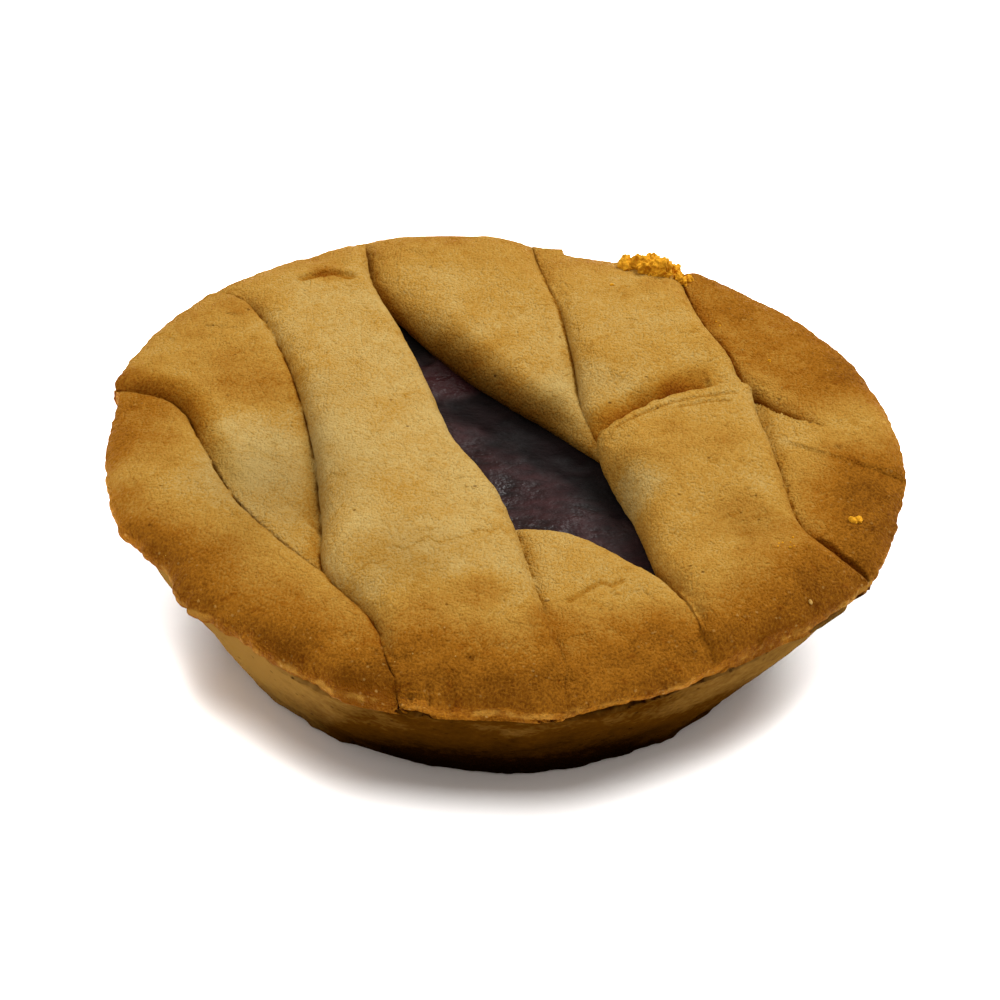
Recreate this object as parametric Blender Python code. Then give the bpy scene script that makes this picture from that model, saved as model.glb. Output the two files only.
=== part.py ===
"""Small round cherry crostata: a tapered shortcrust case, cherry jam, and a lattice of wide
dough bands pressed onto the rim. Sizes are in millimetres and are scaled to metres at the end.
The origin is the centre of the flat base, +Z is up, and -Y is the side shown in front."""

import bmesh
import bpy
import numpy as np

MM = 0.001

# Driving sizes, in millimetres
RIM_RADIUS = 50.0
BASE_RADIUS = 35.5
CASE_TOP = 21.2
GAP = 0.3

# Case, worked out from them
FLOOR_THICKNESS = 6.0
BASE_CORNER = 1.6
CASE_OUTER_RADIUS = RIM_RADIUS - 0.8
CASE_EDGE = 0.6
WALL_BULGE = 0.6
CAVITY_TOP_RADIUS = RIM_RADIUS - 7.0
CAVITY_BASE_RADIUS = BASE_RADIUS - 5.5
CASE_STEPS = 96

# Jam: how far below the case's edge it stands, and the height and spacing of its waves
JAM_LEVEL = CASE_TOP - 0.4
JAM_SWELL = 0.25
JAM_WAVE = 15.0
JAM_SIDE_GAP = 1.4 * GAP
JAM_STEPS = 48

# Lattice: where its bands start from the case, the height of its lip, and the least thickness
UNDERSIDE = CASE_TOP + GAP
LIP = UNDERSIDE + 0.5
THINNEST = 0.35
END_BEND = 0.2
SIDE_BEND = 0.3

# The map of laid dough: how far it reaches from the centre, and its cell
MAP_REACH = 54.0
MAP_CELL = 0.16

# Uneven rim of the lattice: angle from +X in degrees, and radius
RIM_OUTLINE = (
    (-180, 49.4), (-166, 49.3), (-156, 49.2), (-148, 47.6), (-141, 48.8), (-130, 48.4),
    (-120, 49.4), (-112, 50.5), (-102, 50.8), (-90, 50.4), (-79, 50.7), (-66, 49.2), (-57, 48.4),
    (-47, 48.4), (-38, 49.6), (-28, 50.5), (-20, 51.0), (0, 50.5), (20, 50.4), (40, 49.8),
    (55, 49.2), (64, 48.6), (72, 47.6), (84, 47.9), (93, 50.6), (102, 50.8), (118, 50.6),
    (136, 51.0), (150, 51.2), (163, 51.0), (168, 50.0),
)

# Raised and sunken spots of the dough: x, y, reach and height, in millimetres
RELIEF = (
    (15.8, 43.8, 2.2, 1.2), (19.2, 42.8, 2.0, 1.4), (21.8, 41.4, 1.6, 0.9), (33.0, -29.0, 8.0, 0.5),
    (29.0, -16.0, 6.0, -0.5), (17.6, -30.6, 2.2, -0.7), (-25.5, 41.2, 3.0, -0.6), (14.0, 10.5, 5.0, -0.8),
)


def smooth_path(points, samples=400):
    """A smooth curve through the points, as the share of its length and the position there."""
    points = np.array(points, float)
    steps = np.linalg.norm(np.diff(points, axis=0), axis=1)
    knots = np.concatenate([[0.0], np.cumsum(steps)])
    slopes = np.gradient(points, knots, axis=0)
    t = np.linspace(0.0, knots[-1], samples)
    i = np.clip(np.searchsorted(knots, t, side="right") - 1, 0, len(knots) - 2)
    h = (knots[i + 1] - knots[i])[:, None]
    f = (t - knots[i])[:, None] / h
    position = (
        (2 * f**3 - 3 * f**2 + 1) * points[i]
        + (f**3 - 2 * f**2 + f) * h * slopes[i]
        + (3 * f**2 - 2 * f**3) * points[i + 1]
        + (f**3 - f**2) * h * slopes[i + 1]
    )
    lengths = np.concatenate([[0.0], np.cumsum(np.linalg.norm(np.diff(position, axis=0), axis=1))])
    return lengths / lengths[-1], position


def along(path, share):
    """The position on a smooth path at a share of its length."""
    shares, position = path
    return np.stack([np.interp(share, shares, position[:, k]) for k in (0, 1)], axis=-1)


def rim_radius(angle):
    """Radius of the lid's uneven edge at an angle in radians."""
    wrapped = [(a + turn, r) for turn in (-360, 0, 360) for a, r in RIM_OUTLINE]
    degrees = np.degrees(np.arctan2(np.sin(angle), np.cos(angle)))
    near = [(a, r) for a, r in wrapped if -230 <= a <= 230]
    _, curve = smooth_path(near, 1600)
    return np.interp(degrees, curve[:, 0], curve[:, 1])


def rim_point(degrees):
    """The point of the lid's edge at an angle in degrees."""
    angle = np.radians(degrees)
    radius = float(rim_radius(angle))
    return radius * np.cos(angle), radius * np.sin(angle)


def inside_rim(degrees, depth):
    """The point a given depth inward of the lid's edge at an angle in degrees."""
    x, y = rim_point(degrees)
    share = 1 - depth / np.hypot(x, y)
    return x * share, y * share


def rim_arc(start, end, count=13):
    """Points along the lid's edge from one angle to another."""
    return [rim_point(a) for a in np.linspace(start, end, count)]


# The bands. Each has a left and a right edge, from its start to its end, in millimetres on the plan.
# crown is the height of its back along the length, left_foot and right_foot where its sides end.
# left_round and right_round are the shares of the width that roll down, start_round and end_round
# those of the length. steps are its grid cells along and across.
BANDS = {
    "rim_band_left": dict(
        left=rim_arc(166, 257.5),
        right=[inside_rim(166, 2.2), (-40.8, 8.0), (-36.0, -2.2), (-30.9, -13.0), (-24.2, -22.2),
               (-17.8, -29.4), (-12.8, -37.4), (-12.2, -43.0), rim_point(257.5)],
        crown=(23.4, 24.4, 25.2, 25.5, 25.4, 25.0, 24.6),
        left_foot=(22.4, 22.0, 22.0), right_foot=(22.0, 22.2, 22.4, 22.6, 22.8, 22.8, 22.4),
        left_round=0.55, right_round=0.24, start_round=0.04, end_round=0.03,
        steps=(24, 13),
    ),
    "rim_band_right": dict(
        left=[inside_rim(61.4, 2.5), (23.2, 34.0), (24.4, 27.0), (27.4, 20.0), (31.0, 13.4), (37.7, 7.0),
              (43.6, 3.4), inside_rim(4.2, 2.0)],
        right=rim_arc(61.4, 4.2),
        crown=(24.0, 24.2, 24.6, 24.9, 25.0, 24.8, 24.4),
        left_foot=(22.8, 22.4, 22.4, 22.6, 22.8, 22.8), right_foot=(23.2, 22.8, 22.4),
        left_round=0.20, right_round=0.42, start_round=0.05, end_round=0.04,
        steps=(20, 12),
    ),
    "band_under_left": dict(
        left=[rim_point(166.8), (-41.6, 7.8), (-36.8, -2.6), (-31.8, -14.0), (-25.0, -23.0), (-17.0, -30.5),
              (-5.0, -36.5), (7.2, -43.0), rim_point(-80.5)],
        right=[rim_point(139.0), (-34.0, 31.9), (-28.0, 24.0), (-18.0, 11.0), (-7.5, -5.0), (1.0, -15.2),
               (9.1, -16.7), (15.8, -21.8), (20.8, -26.4), (24.2, -32.5), rim_point(-58)],
        crown=(25.0, 25.2, 24.7, 24.0, 23.7, 24.4, 24.9, 24.5),
        left_foot=(22.8, 23.2, 23.6, 23.6, 23.0, 22.8, 22.6),
        right_foot=(23.4, 23.2, 22.8, 22.6, 22.0, 22.0, 22.8),
        left_round=0.22, right_round=0.14, start_round=0.08, end_round=0.15,
        start_lip=23.2, rim_start=True, rim_end=True, steps=(24, 13),
    ),
    "band_under_right": dict(
        left=[rim_point(112.2), (-18.4, 41.5), (-18.2, 36.5), (-13.4, 29.4), (-3.8, 16.8), (5.6, 7.6),
              (12.4, 0.6), (21.0, -9.0), (31.5, -15.6), (39.2, -19.9), rim_point(-27.8)],
        right=[rim_point(86.2), (5.6, 41.0), (13.5, 31.5), (22.0, 21.5), (30.5, 14.0), (37.8, 7.3),
               (44.0, 3.9), rim_point(3.6)],
        crown=(26.3, 25.9, 25.2, 24.2, 23.6, 24.0, 24.7, 25.0),
        left_foot=(23.0, 22.1, 22.1, 22.1, 22.2, 22.6, 23.0),
        right_foot=(22.6, 22.4, 22.4, 23.2, 24.2, 24.4),
        left_round=0.22, right_round=(0.34, 0.30, 0.20, 0.08, 0.06),
        start_round=0.09, end_round=0.16, start_lip=23.4, rim_start=True, rim_end=True, steps=(24, 13),
    ),
    "band_over_left": dict(
        left=[rim_point(138.2), (-34.2, 30.4), (-29.6, 21.2), (-25.6, 8.4), (-23.0, -4.5), (-21.6, -16.0),
              (-20.4, -28.0), (-14.2, -37.4), (-12.5, -43.0), rim_point(258)],
        right=[rim_point(112.8), (-19.0, 42.0), (-17.7, 36.0), (-12.7, 22.9), (-8.6, 9.8), (-5.0, -1.9),
               (0.2, -11.6), (1.9, -17.0), (3.6, -25.0), (5.9, -35.3), (8.0, -43.0), rim_point(-81)],
        crown=(25.3, 26.2, 26.8, 27.0, 27.2, 27.0, 26.4, 25.2),
        left_foot=(24.2, 24.5, 24.4, 24.2, 23.8, 23.6, 23.0),
        right_foot=(25.0, 24.0, 22.4, 22.2, 23.4, 24.0, 24.2, 23.6),
        left_round=0.20, right_round=0.14, start_round=0.08, end_round=0.14,
        start_lip=23.2, rim_start=True, rim_end=True, steps=(28, 14),
    ),
    "band_over_right_back": dict(
        left=[rim_point(85.7), (4.7, 39.5), (7.2, 29.5), (8.9, 19.5), (10.4, 8.4), (12.8, 1.6)],
        right=[rim_point(62), (23.7, 37.0), (24.9, 32.0), (26.2, 27.5), (29.0, 21.4), (30.8, 13.4)],
        crown=(24.4, 25.4, 26.2, 26.2, 25.6, 24.0),
        left_foot=(23.4, 24.4, 24.6, 24.2, 23.4, 22.6),
        right_foot=(23.2, 24.0, 24.2, 24.4, 23.4),
        left_round=0.18, right_round=0.16, start_round=0.12, end_round=0.02,
        end_lip=23.2, rim_start=True, steps=(18, 12),
    ),
    "band_over_right_front": dict(
        left=[(12.3, 0.9), (12.8, -3.0), (15.9, -12.8), (18.9, -24.0), (22.3, -31.0), rim_point(-57.4)],
        right=[(31.2, 12.8), (32.4, 6.0), (34.9, -6.4), (37.1, -16.9), (40.4, -21.2), rim_point(-28.3)],
        crown=(26.7, 27.0, 26.6, 25.9, 25.7, 26.2, 25.6),
        left_foot=(24.4, 22.4, 22.2, 22.2, 23.2, 23.2),
        right_foot=(24.8, 24.8, 24.8, 24.6, 24.4, 24.0),
        left_round=0.20, right_round=0.14, start_round=0.03, end_round=0.20,
        start_lip=25.4, rim_end=True, steps=(20, 12),
    ),
}

# From the lowest band to the topmost: each is moulded over those before it
LAYERS = (
    "rim_band_left", "rim_band_right", "band_under_left", "band_under_right",
    "band_over_left", "band_over_right_back", "band_over_right_front",
)

COLOURS = {
    "pastry_case": (0.30, 0.15, 0.035),
    "cherry_jam": (0.030, 0.008, 0.012),
    "rim": (0.42, 0.20, 0.045),
    "band": (0.56, 0.34, 0.11),
}


def edge_roll(share, start_round, end_round, bend):
    """Warps an even 0..1 spacing so that a share of the points crowds into each rolled edge. Gives
    the new spacing and how high the roll has risen there, from 0 at the edge to 1 on the flat."""
    flat = start_round + (share - bend) / (1 - 2 * bend) * (1 - start_round - end_round)
    from_start = np.clip(share / bend, 0, 1) * np.pi / 2
    from_end = np.clip((1 - share) / bend, 0, 1) * np.pi / 2
    warped = np.where(share < bend, start_round * (1 - np.cos(from_start)), flat)
    warped = np.where(share > 1 - bend, 1 - end_round * (1 - np.cos(from_end)), warped)
    return warped, np.minimum(np.sin(from_start), np.sin(from_end))


def profile(values, share):
    """A quantity given at even spacing along a band, read smoothly at a share of its length."""
    if np.isscalar(values):
        return np.full_like(share, values)
    path = smooth_path([(10 * k, v) for k, v in enumerate(values)], 200)[1]
    return np.interp(share, path[:, 0] / path[-1, 0], path[:, 1])


def relief(plan):
    """Height of the raised and sunken spots at points of the plan."""
    total = np.zeros(len(plan))
    for x, y, reach, height in RELIEF:
        distance = np.hypot(plan[:, 0] - x, plan[:, 1] - y) / reach
        total += height * np.clip(1 - distance**2, 0, 1) ** 2
    return total


def band_surface(band, u, v):
    """Plan position and top height of a band, at shares u of its length and v of its width."""
    length, end_rise = edge_roll(u, band["start_round"], band["end_round"], END_BEND)
    left_round = profile(band["left_round"], length)
    right_round = profile(band["right_round"], length)
    width, side_rise = edge_roll(v, left_round, right_round, SIDE_BEND)
    left = along(smooth_path(band["left"]), length)
    right = along(smooth_path(band["right"]), length)
    plan = left + (right - left) * width[:, None]

    radius = np.linalg.norm(plan, axis=1)
    reach = rim_radius(np.arctan2(plan[:, 1], plan[:, 0]))
    pull = np.zeros_like(u)
    if band.get("rim_start"):
        pull += np.clip(1 - length / 0.3, 0, 1) ** 2
    if band.get("rim_end"):
        pull += np.clip(1 - (1 - length) / 0.3, 0, 1) ** 2
    on_rim = np.linalg.norm(left - right, axis=1)
    sag = 4 * width * (1 - width) * on_rim**2 / (8 * RIM_RADIUS)
    plan *= (1 + pull * sag / np.maximum(radius, 1.0))[:, None]
    over = np.maximum(np.linalg.norm(plan, axis=1) / reach, 1.0)
    plan /= over[:, None]

    lip = band.get("start_lip", LIP) * (1 - length) + band.get("end_lip", LIP) * length
    foot = profile(band["left_foot"], length) * (1 - width) + profile(band["right_foot"], length) * width
    crown = profile(band["crown"], length) + relief(plan) * np.minimum(side_rise, end_rise)
    height = lip + end_rise * (foot + (crown - foot) * side_rise - lip)
    return plan, height


def cell_of(plan):
    """The map cells that points of the plan fall in."""
    cells = np.round((plan + MAP_REACH) / MAP_CELL).astype(int)
    return cells[..., 0], cells[..., 1]


def filled_in(grid, fine=6):
    """A grid of values with more put evenly between its points, along both of its sides."""
    for axis in (0, 1):
        count = grid.shape[axis]
        place = np.linspace(0, count - 1, (count - 1) * fine + 1)
        low = np.minimum(place.astype(int), count - 2)
        share = (place - low).reshape([-1 if k == axis else 1 for k in range(grid.ndim)])
        grid = np.take(grid, low, axis) * (1 - share) + np.take(grid, low + 1, axis) * share
    return grid


def bed_under(plan, bed, fine=6):
    """Height of the dough already laid, as the highest found in the cells around each grid point."""
    found = bed[cell_of(filled_in(plan, fine))]
    padded = np.pad(found, fine, mode="edge")
    windows = np.lib.stride_tricks.sliding_window_view(padded, (2 * fine + 1, 2 * fine + 1))
    return windows[::fine, ::fine].max(axis=(2, 3))


def lay_on(bed, plan, top):
    """The map of the dough laid so far, with one more band on it."""
    added = bed.copy()
    i, j = cell_of(filled_in(plan, 16))
    height = filled_in(top, 16)
    for a in (-1, 0, 1):
        for b in (-1, 0, 1):
            np.maximum.at(added, (i + a, j + b), height)
    return added


def solid_band(name, band, bed):
    """A band as a closed solid: a grid laid out on the plan, extruded, then shaped top and bottom.
    Its underside follows the dough already laid. Also gives that map with this band added."""
    long_steps, cross_steps = band["steps"]
    shape = (long_steps + 1, cross_steps + 1)
    u, v = np.meshgrid(np.linspace(0, 1, shape[0]), np.linspace(0, 1, shape[1]), indexing="ij")
    plan, top = band_surface(band, u.ravel(), v.ravel())
    plan = plan.reshape(*shape, 2)
    top = top.reshape(shape)
    bottom = np.maximum(bed_under(plan, bed) + GAP, UNDERSIDE)
    top = np.maximum(top, bottom + THINNEST)
    for k in range(1, 4):
        top[:, k] = np.maximum(top[:, k], top[:, k - 1])
        top[:, -1 - k] = np.maximum(top[:, -1 - k], top[:, -k])

    bm = bmesh.new()
    bmesh.ops.create_grid(bm, x_segments=long_steps, y_segments=cross_steps, size=0.5)
    raised = bmesh.ops.extrude_face_region(bm, geom=bm.faces[:])["geom"]
    is_top = {vert for vert in raised if isinstance(vert, bmesh.types.BMVert)}
    for vert in bm.verts:
        i = round((vert.co.x + 0.5) * long_steps)
        j = round((vert.co.y + 0.5) * cross_steps)
        vert.co = (*plan[i, j], top[i, j] if vert in is_top else bottom[i, j])
    bmesh.ops.recalc_face_normals(bm, faces=bm.faces[:])
    bmesh.ops.scale(bm, vec=(MM, MM, MM), verts=bm.verts[:])
    return finished(name, bm), lay_on(bed, plan, top)


def finished(name, bm):
    """Closes a bmesh into a linked, smooth-shaded object."""
    mesh = bpy.data.meshes.new(name)
    bm.to_mesh(mesh)
    bm.free()
    mesh.shade_smooth()
    mesh.set_sharp_from_angle(angle=np.radians(50))
    obj = bpy.data.objects.new(name, mesh)
    bpy.context.scene.collection.objects.link(obj)
    return obj


def material(name, colour, roughness):
    """A plain material of one colour."""
    made = bpy.data.materials.new(name)
    made.use_nodes = True
    shader = made.node_tree.nodes["Principled BSDF"]
    shader.inputs["Base Color"].default_value = (*colour, 1.0)
    shader.inputs["Roughness"].default_value = roughness
    shader.inputs["Metallic"].default_value = 0.0
    made.diffuse_color = (*colour, 1.0)
    return made


def turned(outline, steps):
    """A solid of revolution: the outline runs in (radius, height) from axis to axis."""
    bm = bmesh.new()
    verts = [bm.verts.new((r, 0.0, z)) for r, z in outline]
    edges = [bm.edges.new(pair) for pair in zip(verts, verts[1:])]
    bmesh.ops.spin(bm, geom=verts + edges, cent=(0, 0, 0), axis=(0, 0, 1), angle=2 * np.pi,
                   steps=steps, use_merge=True)
    bmesh.ops.remove_doubles(bm, verts=bm.verts[:], dist=0.001)
    bmesh.ops.recalc_face_normals(bm, faces=bm.faces[:])
    return bm


def cavity_radius(z):
    """Radius of the hollow in the case at a height."""
    share = (z - FLOOR_THICKNESS) / (CASE_TOP - FLOOR_THICKNESS)
    return CAVITY_BASE_RADIUS + (CAVITY_TOP_RADIUS - CAVITY_BASE_RADIUS) * share


def follow_rim(bm):
    """Makes the outside of the case as uneven as the rim, more so the higher up."""
    for vert in bm.verts:
        radius = np.hypot(vert.co.x, vert.co.y)
        if radius > cavity_radius(max(vert.co.z, FLOOR_THICKNESS)) + GAP:
            share = np.clip(vert.co.z / CASE_TOP, 0, 1)
            wanted = rim_radius(np.arctan2(vert.co.y, vert.co.x)) / RIM_RADIUS
            factor = 1 + (wanted - 1) * share
            vert.co.x *= factor
            vert.co.y *= factor


def make_case():
    """The case: a flat floor, a tapered wall that swells a little, and the hollow for the jam."""
    rise = np.linspace(0, 1, 6)[1:-1]
    wall = [(BASE_RADIUS + (CASE_OUTER_RADIUS - BASE_RADIUS) * f + WALL_BULGE * np.sin(np.pi * f),
             BASE_CORNER + (CASE_TOP - BASE_CORNER) * f) for f in rise]
    corner = [(BASE_RADIUS - BASE_CORNER * (1 - np.sin(a)), BASE_CORNER * (1 - np.cos(a)))
              for a in np.linspace(0, np.pi / 2, 4)]
    outline = [(0.0, 0.0), (BASE_RADIUS / 2, 0.0)] + corner + wall + [
        (CASE_OUTER_RADIUS, CASE_TOP - CASE_EDGE), (CASE_OUTER_RADIUS - CASE_EDGE, CASE_TOP),
        (CAVITY_TOP_RADIUS, CASE_TOP), (CAVITY_BASE_RADIUS, FLOOR_THICKNESS), (0.0, FLOOR_THICKNESS)]
    bm = turned(outline, CASE_STEPS)
    follow_rim(bm)
    bmesh.ops.scale(bm, vec=(MM, MM, MM), verts=bm.verts[:])
    return finished("pastry_case", bm)


def make_jam():
    """The jam: it fills the hollow, and its top is slightly wavy."""
    low = FLOOR_THICKNESS + GAP
    reach = cavity_radius(JAM_LEVEL) - JAM_SIDE_GAP
    outline = [(0.0, low), (cavity_radius(low) - JAM_SIDE_GAP, low), (reach, JAM_LEVEL)]
    outline += [(r, JAM_LEVEL) for r in np.linspace(reach, 0.0, 8)[1:]]
    bm = turned(outline, JAM_STEPS)
    turn = 2 * np.pi / JAM_WAVE
    for vert in bm.verts:
        if vert.co.z > JAM_LEVEL - GAP / 2 and np.hypot(vert.co.x, vert.co.y) < reach - GAP:
            vert.co.z += JAM_SWELL * np.sin(vert.co.x * turn + 1.0) * np.cos(vert.co.y * turn)
    bmesh.ops.scale(bm, vec=(MM, MM, MM), verts=bm.verts[:])
    return finished("cherry_jam", bm)


def main():
    """Empties the scene, then makes the case, the jam and the bands from the lowest up."""
    for obj in list(bpy.data.objects):
        bpy.data.objects.remove(obj)
    parts = {"pastry_case": make_case(), "cherry_jam": make_jam()}
    cells = int(2 * MAP_REACH / MAP_CELL) + 1
    bed = np.full((cells, cells), CASE_TOP)
    for name in LAYERS:
        parts[name], bed = solid_band(name, BANDS[name], bed)
    finishes = {
        "pastry_case": material("baked_case", COLOURS["pastry_case"], 0.85),
        "cherry_jam": material("cherry_jam", COLOURS["cherry_jam"], 0.3),
        "rim": material("browned_rim_dough", COLOURS["rim"], 0.8),
        "band": material("pale_band_dough", COLOURS["band"], 0.8),
    }
    for name, obj in parts.items():
        kind = name if name in finishes else "rim" if name.startswith("rim") else "band"
        obj.data.materials.append(finishes[kind])


main()
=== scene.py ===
"""The looks of a small cherry crostata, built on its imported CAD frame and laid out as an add-on.
Shapes are worked out in millimetres with the values of the CAD source, and meshed in metres."""

import bmesh
import bpy
import numpy as np
from bpy.props import FloatProperty, FloatVectorProperty, IntProperty, PointerProperty
from mathutils import Matrix, Vector
from mathutils.bvhtree import BVHTree


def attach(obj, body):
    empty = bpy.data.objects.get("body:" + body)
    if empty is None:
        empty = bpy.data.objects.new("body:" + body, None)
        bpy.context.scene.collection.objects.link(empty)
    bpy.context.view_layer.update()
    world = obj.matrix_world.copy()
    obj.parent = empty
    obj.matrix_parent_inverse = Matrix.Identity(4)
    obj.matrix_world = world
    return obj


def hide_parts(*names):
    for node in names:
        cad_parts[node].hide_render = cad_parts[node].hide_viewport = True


bl_info = {
    "name": "Cherry crostata",
    "version": (1, 0, 0),
    "blender": (4, 5, 0),
    "location": "3D View > Sidebar > Crostata",
    "description": "Bakes a small cherry crostata around its packed frame",
    "category": "Add Mesh",
}

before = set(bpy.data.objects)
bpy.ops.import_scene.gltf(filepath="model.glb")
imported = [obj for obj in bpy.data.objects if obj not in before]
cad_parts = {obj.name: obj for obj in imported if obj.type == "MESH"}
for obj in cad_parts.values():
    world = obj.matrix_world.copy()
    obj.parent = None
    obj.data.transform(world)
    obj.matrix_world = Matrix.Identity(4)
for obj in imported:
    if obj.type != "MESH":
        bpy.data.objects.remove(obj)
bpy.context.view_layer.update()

MM = 0.001

# Sizes of the CAD source, in millimetres
RIM_RADIUS = 50.0
BASE_RADIUS = 35.5
CASE_TOP = 21.2
FLOOR_THICKNESS = 6.0
BASE_CORNER = 1.6
CASE_OUTER_RADIUS = RIM_RADIUS - 0.8
CASE_EDGE = 0.6
WALL_BULGE = 0.6
CAVITY_TOP_RADIUS = RIM_RADIUS - 7.0
CAVITY_BASE_RADIUS = BASE_RADIUS - 5.5
JAM_LEVEL = CASE_TOP - 0.4
JAM_SWELL = 0.25
JAM_WAVE = 15.0
LIP = CASE_TOP + 0.8

# The dough's hidden underside, sunk into the jam and the case so that no gap shows
DOUGH_BOTTOM = 20.7
LAYER_STEP = 0.03
SKIRT_ROWS = 5

# How far a band's side tucks in below its edge, and how many cells inward that way is read
TUCK = 1.1
INNER_CELLS = 8

# The map of laid dough: how far it reaches from the centre, and its cell
MAP_REACH = 54.0
MAP_CELL = 0.25

# Uneven rim of the lattice: angle from +X in degrees, and radius
RIM_OUTLINE = (
    (-180, 49.4), (-166, 49.3), (-156, 49.2), (-148, 47.6), (-141, 48.8), (-130, 48.4), (-120, 49.4),
    (-112, 50.5), (-102, 50.8), (-90, 50.4), (-79, 50.7), (-66, 49.2), (-57, 48.4), (-47, 48.4),
    (-38, 49.6), (-28, 50.5), (-20, 51), (0, 50.5), (20, 50.4), (40, 49.8), (55, 49.2), (64, 48.6),
    (72, 47.4), (81, 47), (87, 48.2), (91, 50), (95, 51), (102, 50.8), (118, 50.6), (136, 51),
    (150, 51.2), (162, 51.1), (166, 51.2), (168.5, 49.8), (173, 49.4),
)

# Raised and sunken spots of the dough: x, y, reach and height, in millimetres
RELIEF = (
    (15.8, 43.4, 2.2, 0.6), (19.2, 42.4, 2, 0.8), (21.8, 41, 1.6, 0.5), (33, -25.5, 7.5, 0.9),
    (28, -15.5, 6.5, -0.7), (17.6, -30.6, 1.6, -0.3), (-25.5, 41.2, 3, -0.6), (14, 10.5, 5, -0.5),
    (29.8, 15, 4.5, 0.9), (23, -21, 5, -0.5), (-3, 47.5, 3, 0.5), (38.5, -22.5, 3, 0.4),
)

# Finer dents and pits pressed or baked into the dough, in the same form
DENTS = (
    (-12.3, 41, 1.7, -0.5), (-22.2, 38.9, 1.3, -0.35), (-36.9, 22.9, 1.1, -0.4),
    (-38.5, 23.2, 0.8, -0.35), (-35.3, 22.8, 0.8, -0.3), (-43.1, 20, 1, -0.3), (-35.8, 26.1, 0.9, -0.25),
    (-2.8, -44.2, 0.7, -0.6), (0.5, -34.8, 1, -0.28), (1.9, -35.9, 1.4, -0.35), (1.1, -37.1, 0.9, -0.22),
    (-7.7, -37.4, 0.8, -0.2), (-5.4, -37.6, 1, -0.2), (-2.6, -37, 0.9, -0.2), (42.1, 0.6, 0.9, -0.4),
    (23.2, -40.1, 1, -0.6), (26, -40, 0.9, -0.5), (31.2, -36.7, 1.1, -0.8), (-21.2, -41.6, 0.9, -0.35),
    (-17.5, -40.5, 0.7, -0.3), (-13.8, -43.2, 0.9, -0.45), (16.5, 26, 0.5, -0.25),
    (20.1, 23.9, 0.5, -0.25), (21.7, 26, 0.4, -0.2), (30.4, -20.3, 1.1, -0.35), (33.8, -20.9, 1.2, -0.4),
    (35.6, -22.9, 0.9, 0.3), (33, -22.6, 0.9, 0.3),
)

# Cracks, folds and creases: the band they run over, points on the plan, width and depth
CRACKS = (
    ("band_over_left", ((-16.2, -30), (-15.6, -29.1), (-14.9, -28.7), (-14, -28.9), (-13.3, -28.3)),
     0.14, 0.1),
    ("band_over_left", ((-12.3, -25.4), (-11.2, -26.1), (-10.2, -25.2), (-9.3, -24.2), (-8.4, -23.2),
     (-7.7, -24.1), (-6.9, -24.5), (-5.2, -23.6), (-3.6, -23.1), (-2.2, -21.8), (-1, -22),
     (-0.2, -21.3)), 0.16, 0.14),
    ("band_over_left", ((-26.8, 34.4), (-24.6, 35.8), (-22.7, 36.1), (-20.6, 35.2)), 0.9, 0.5),
    ("band_under_left", ((8.7, -32.2), (10.5, -30.1), (12.3, -28.5), (13.7, -29.2), (14.9, -28)), 0.5,
     0.16),
    ("band_over_right_front", ((14.4, 1.6), (17.6, 4.3), (21.2, 6.9), (25.4, 8.6), (29.6, 9.6)), 0.28,
     0.45),
    ("band_over_right_front", ((22.2, 5.9), (25.6, 7.2), (28.4, 7.6)), 0.25, 0.35),
    ("band_under_right", ((38.9, -17.6), (40.1, -18.4), (41.2, -19.8), (43, -21.2), (44.4, -22.9)),
     0.45, 0.8),
)

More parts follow.
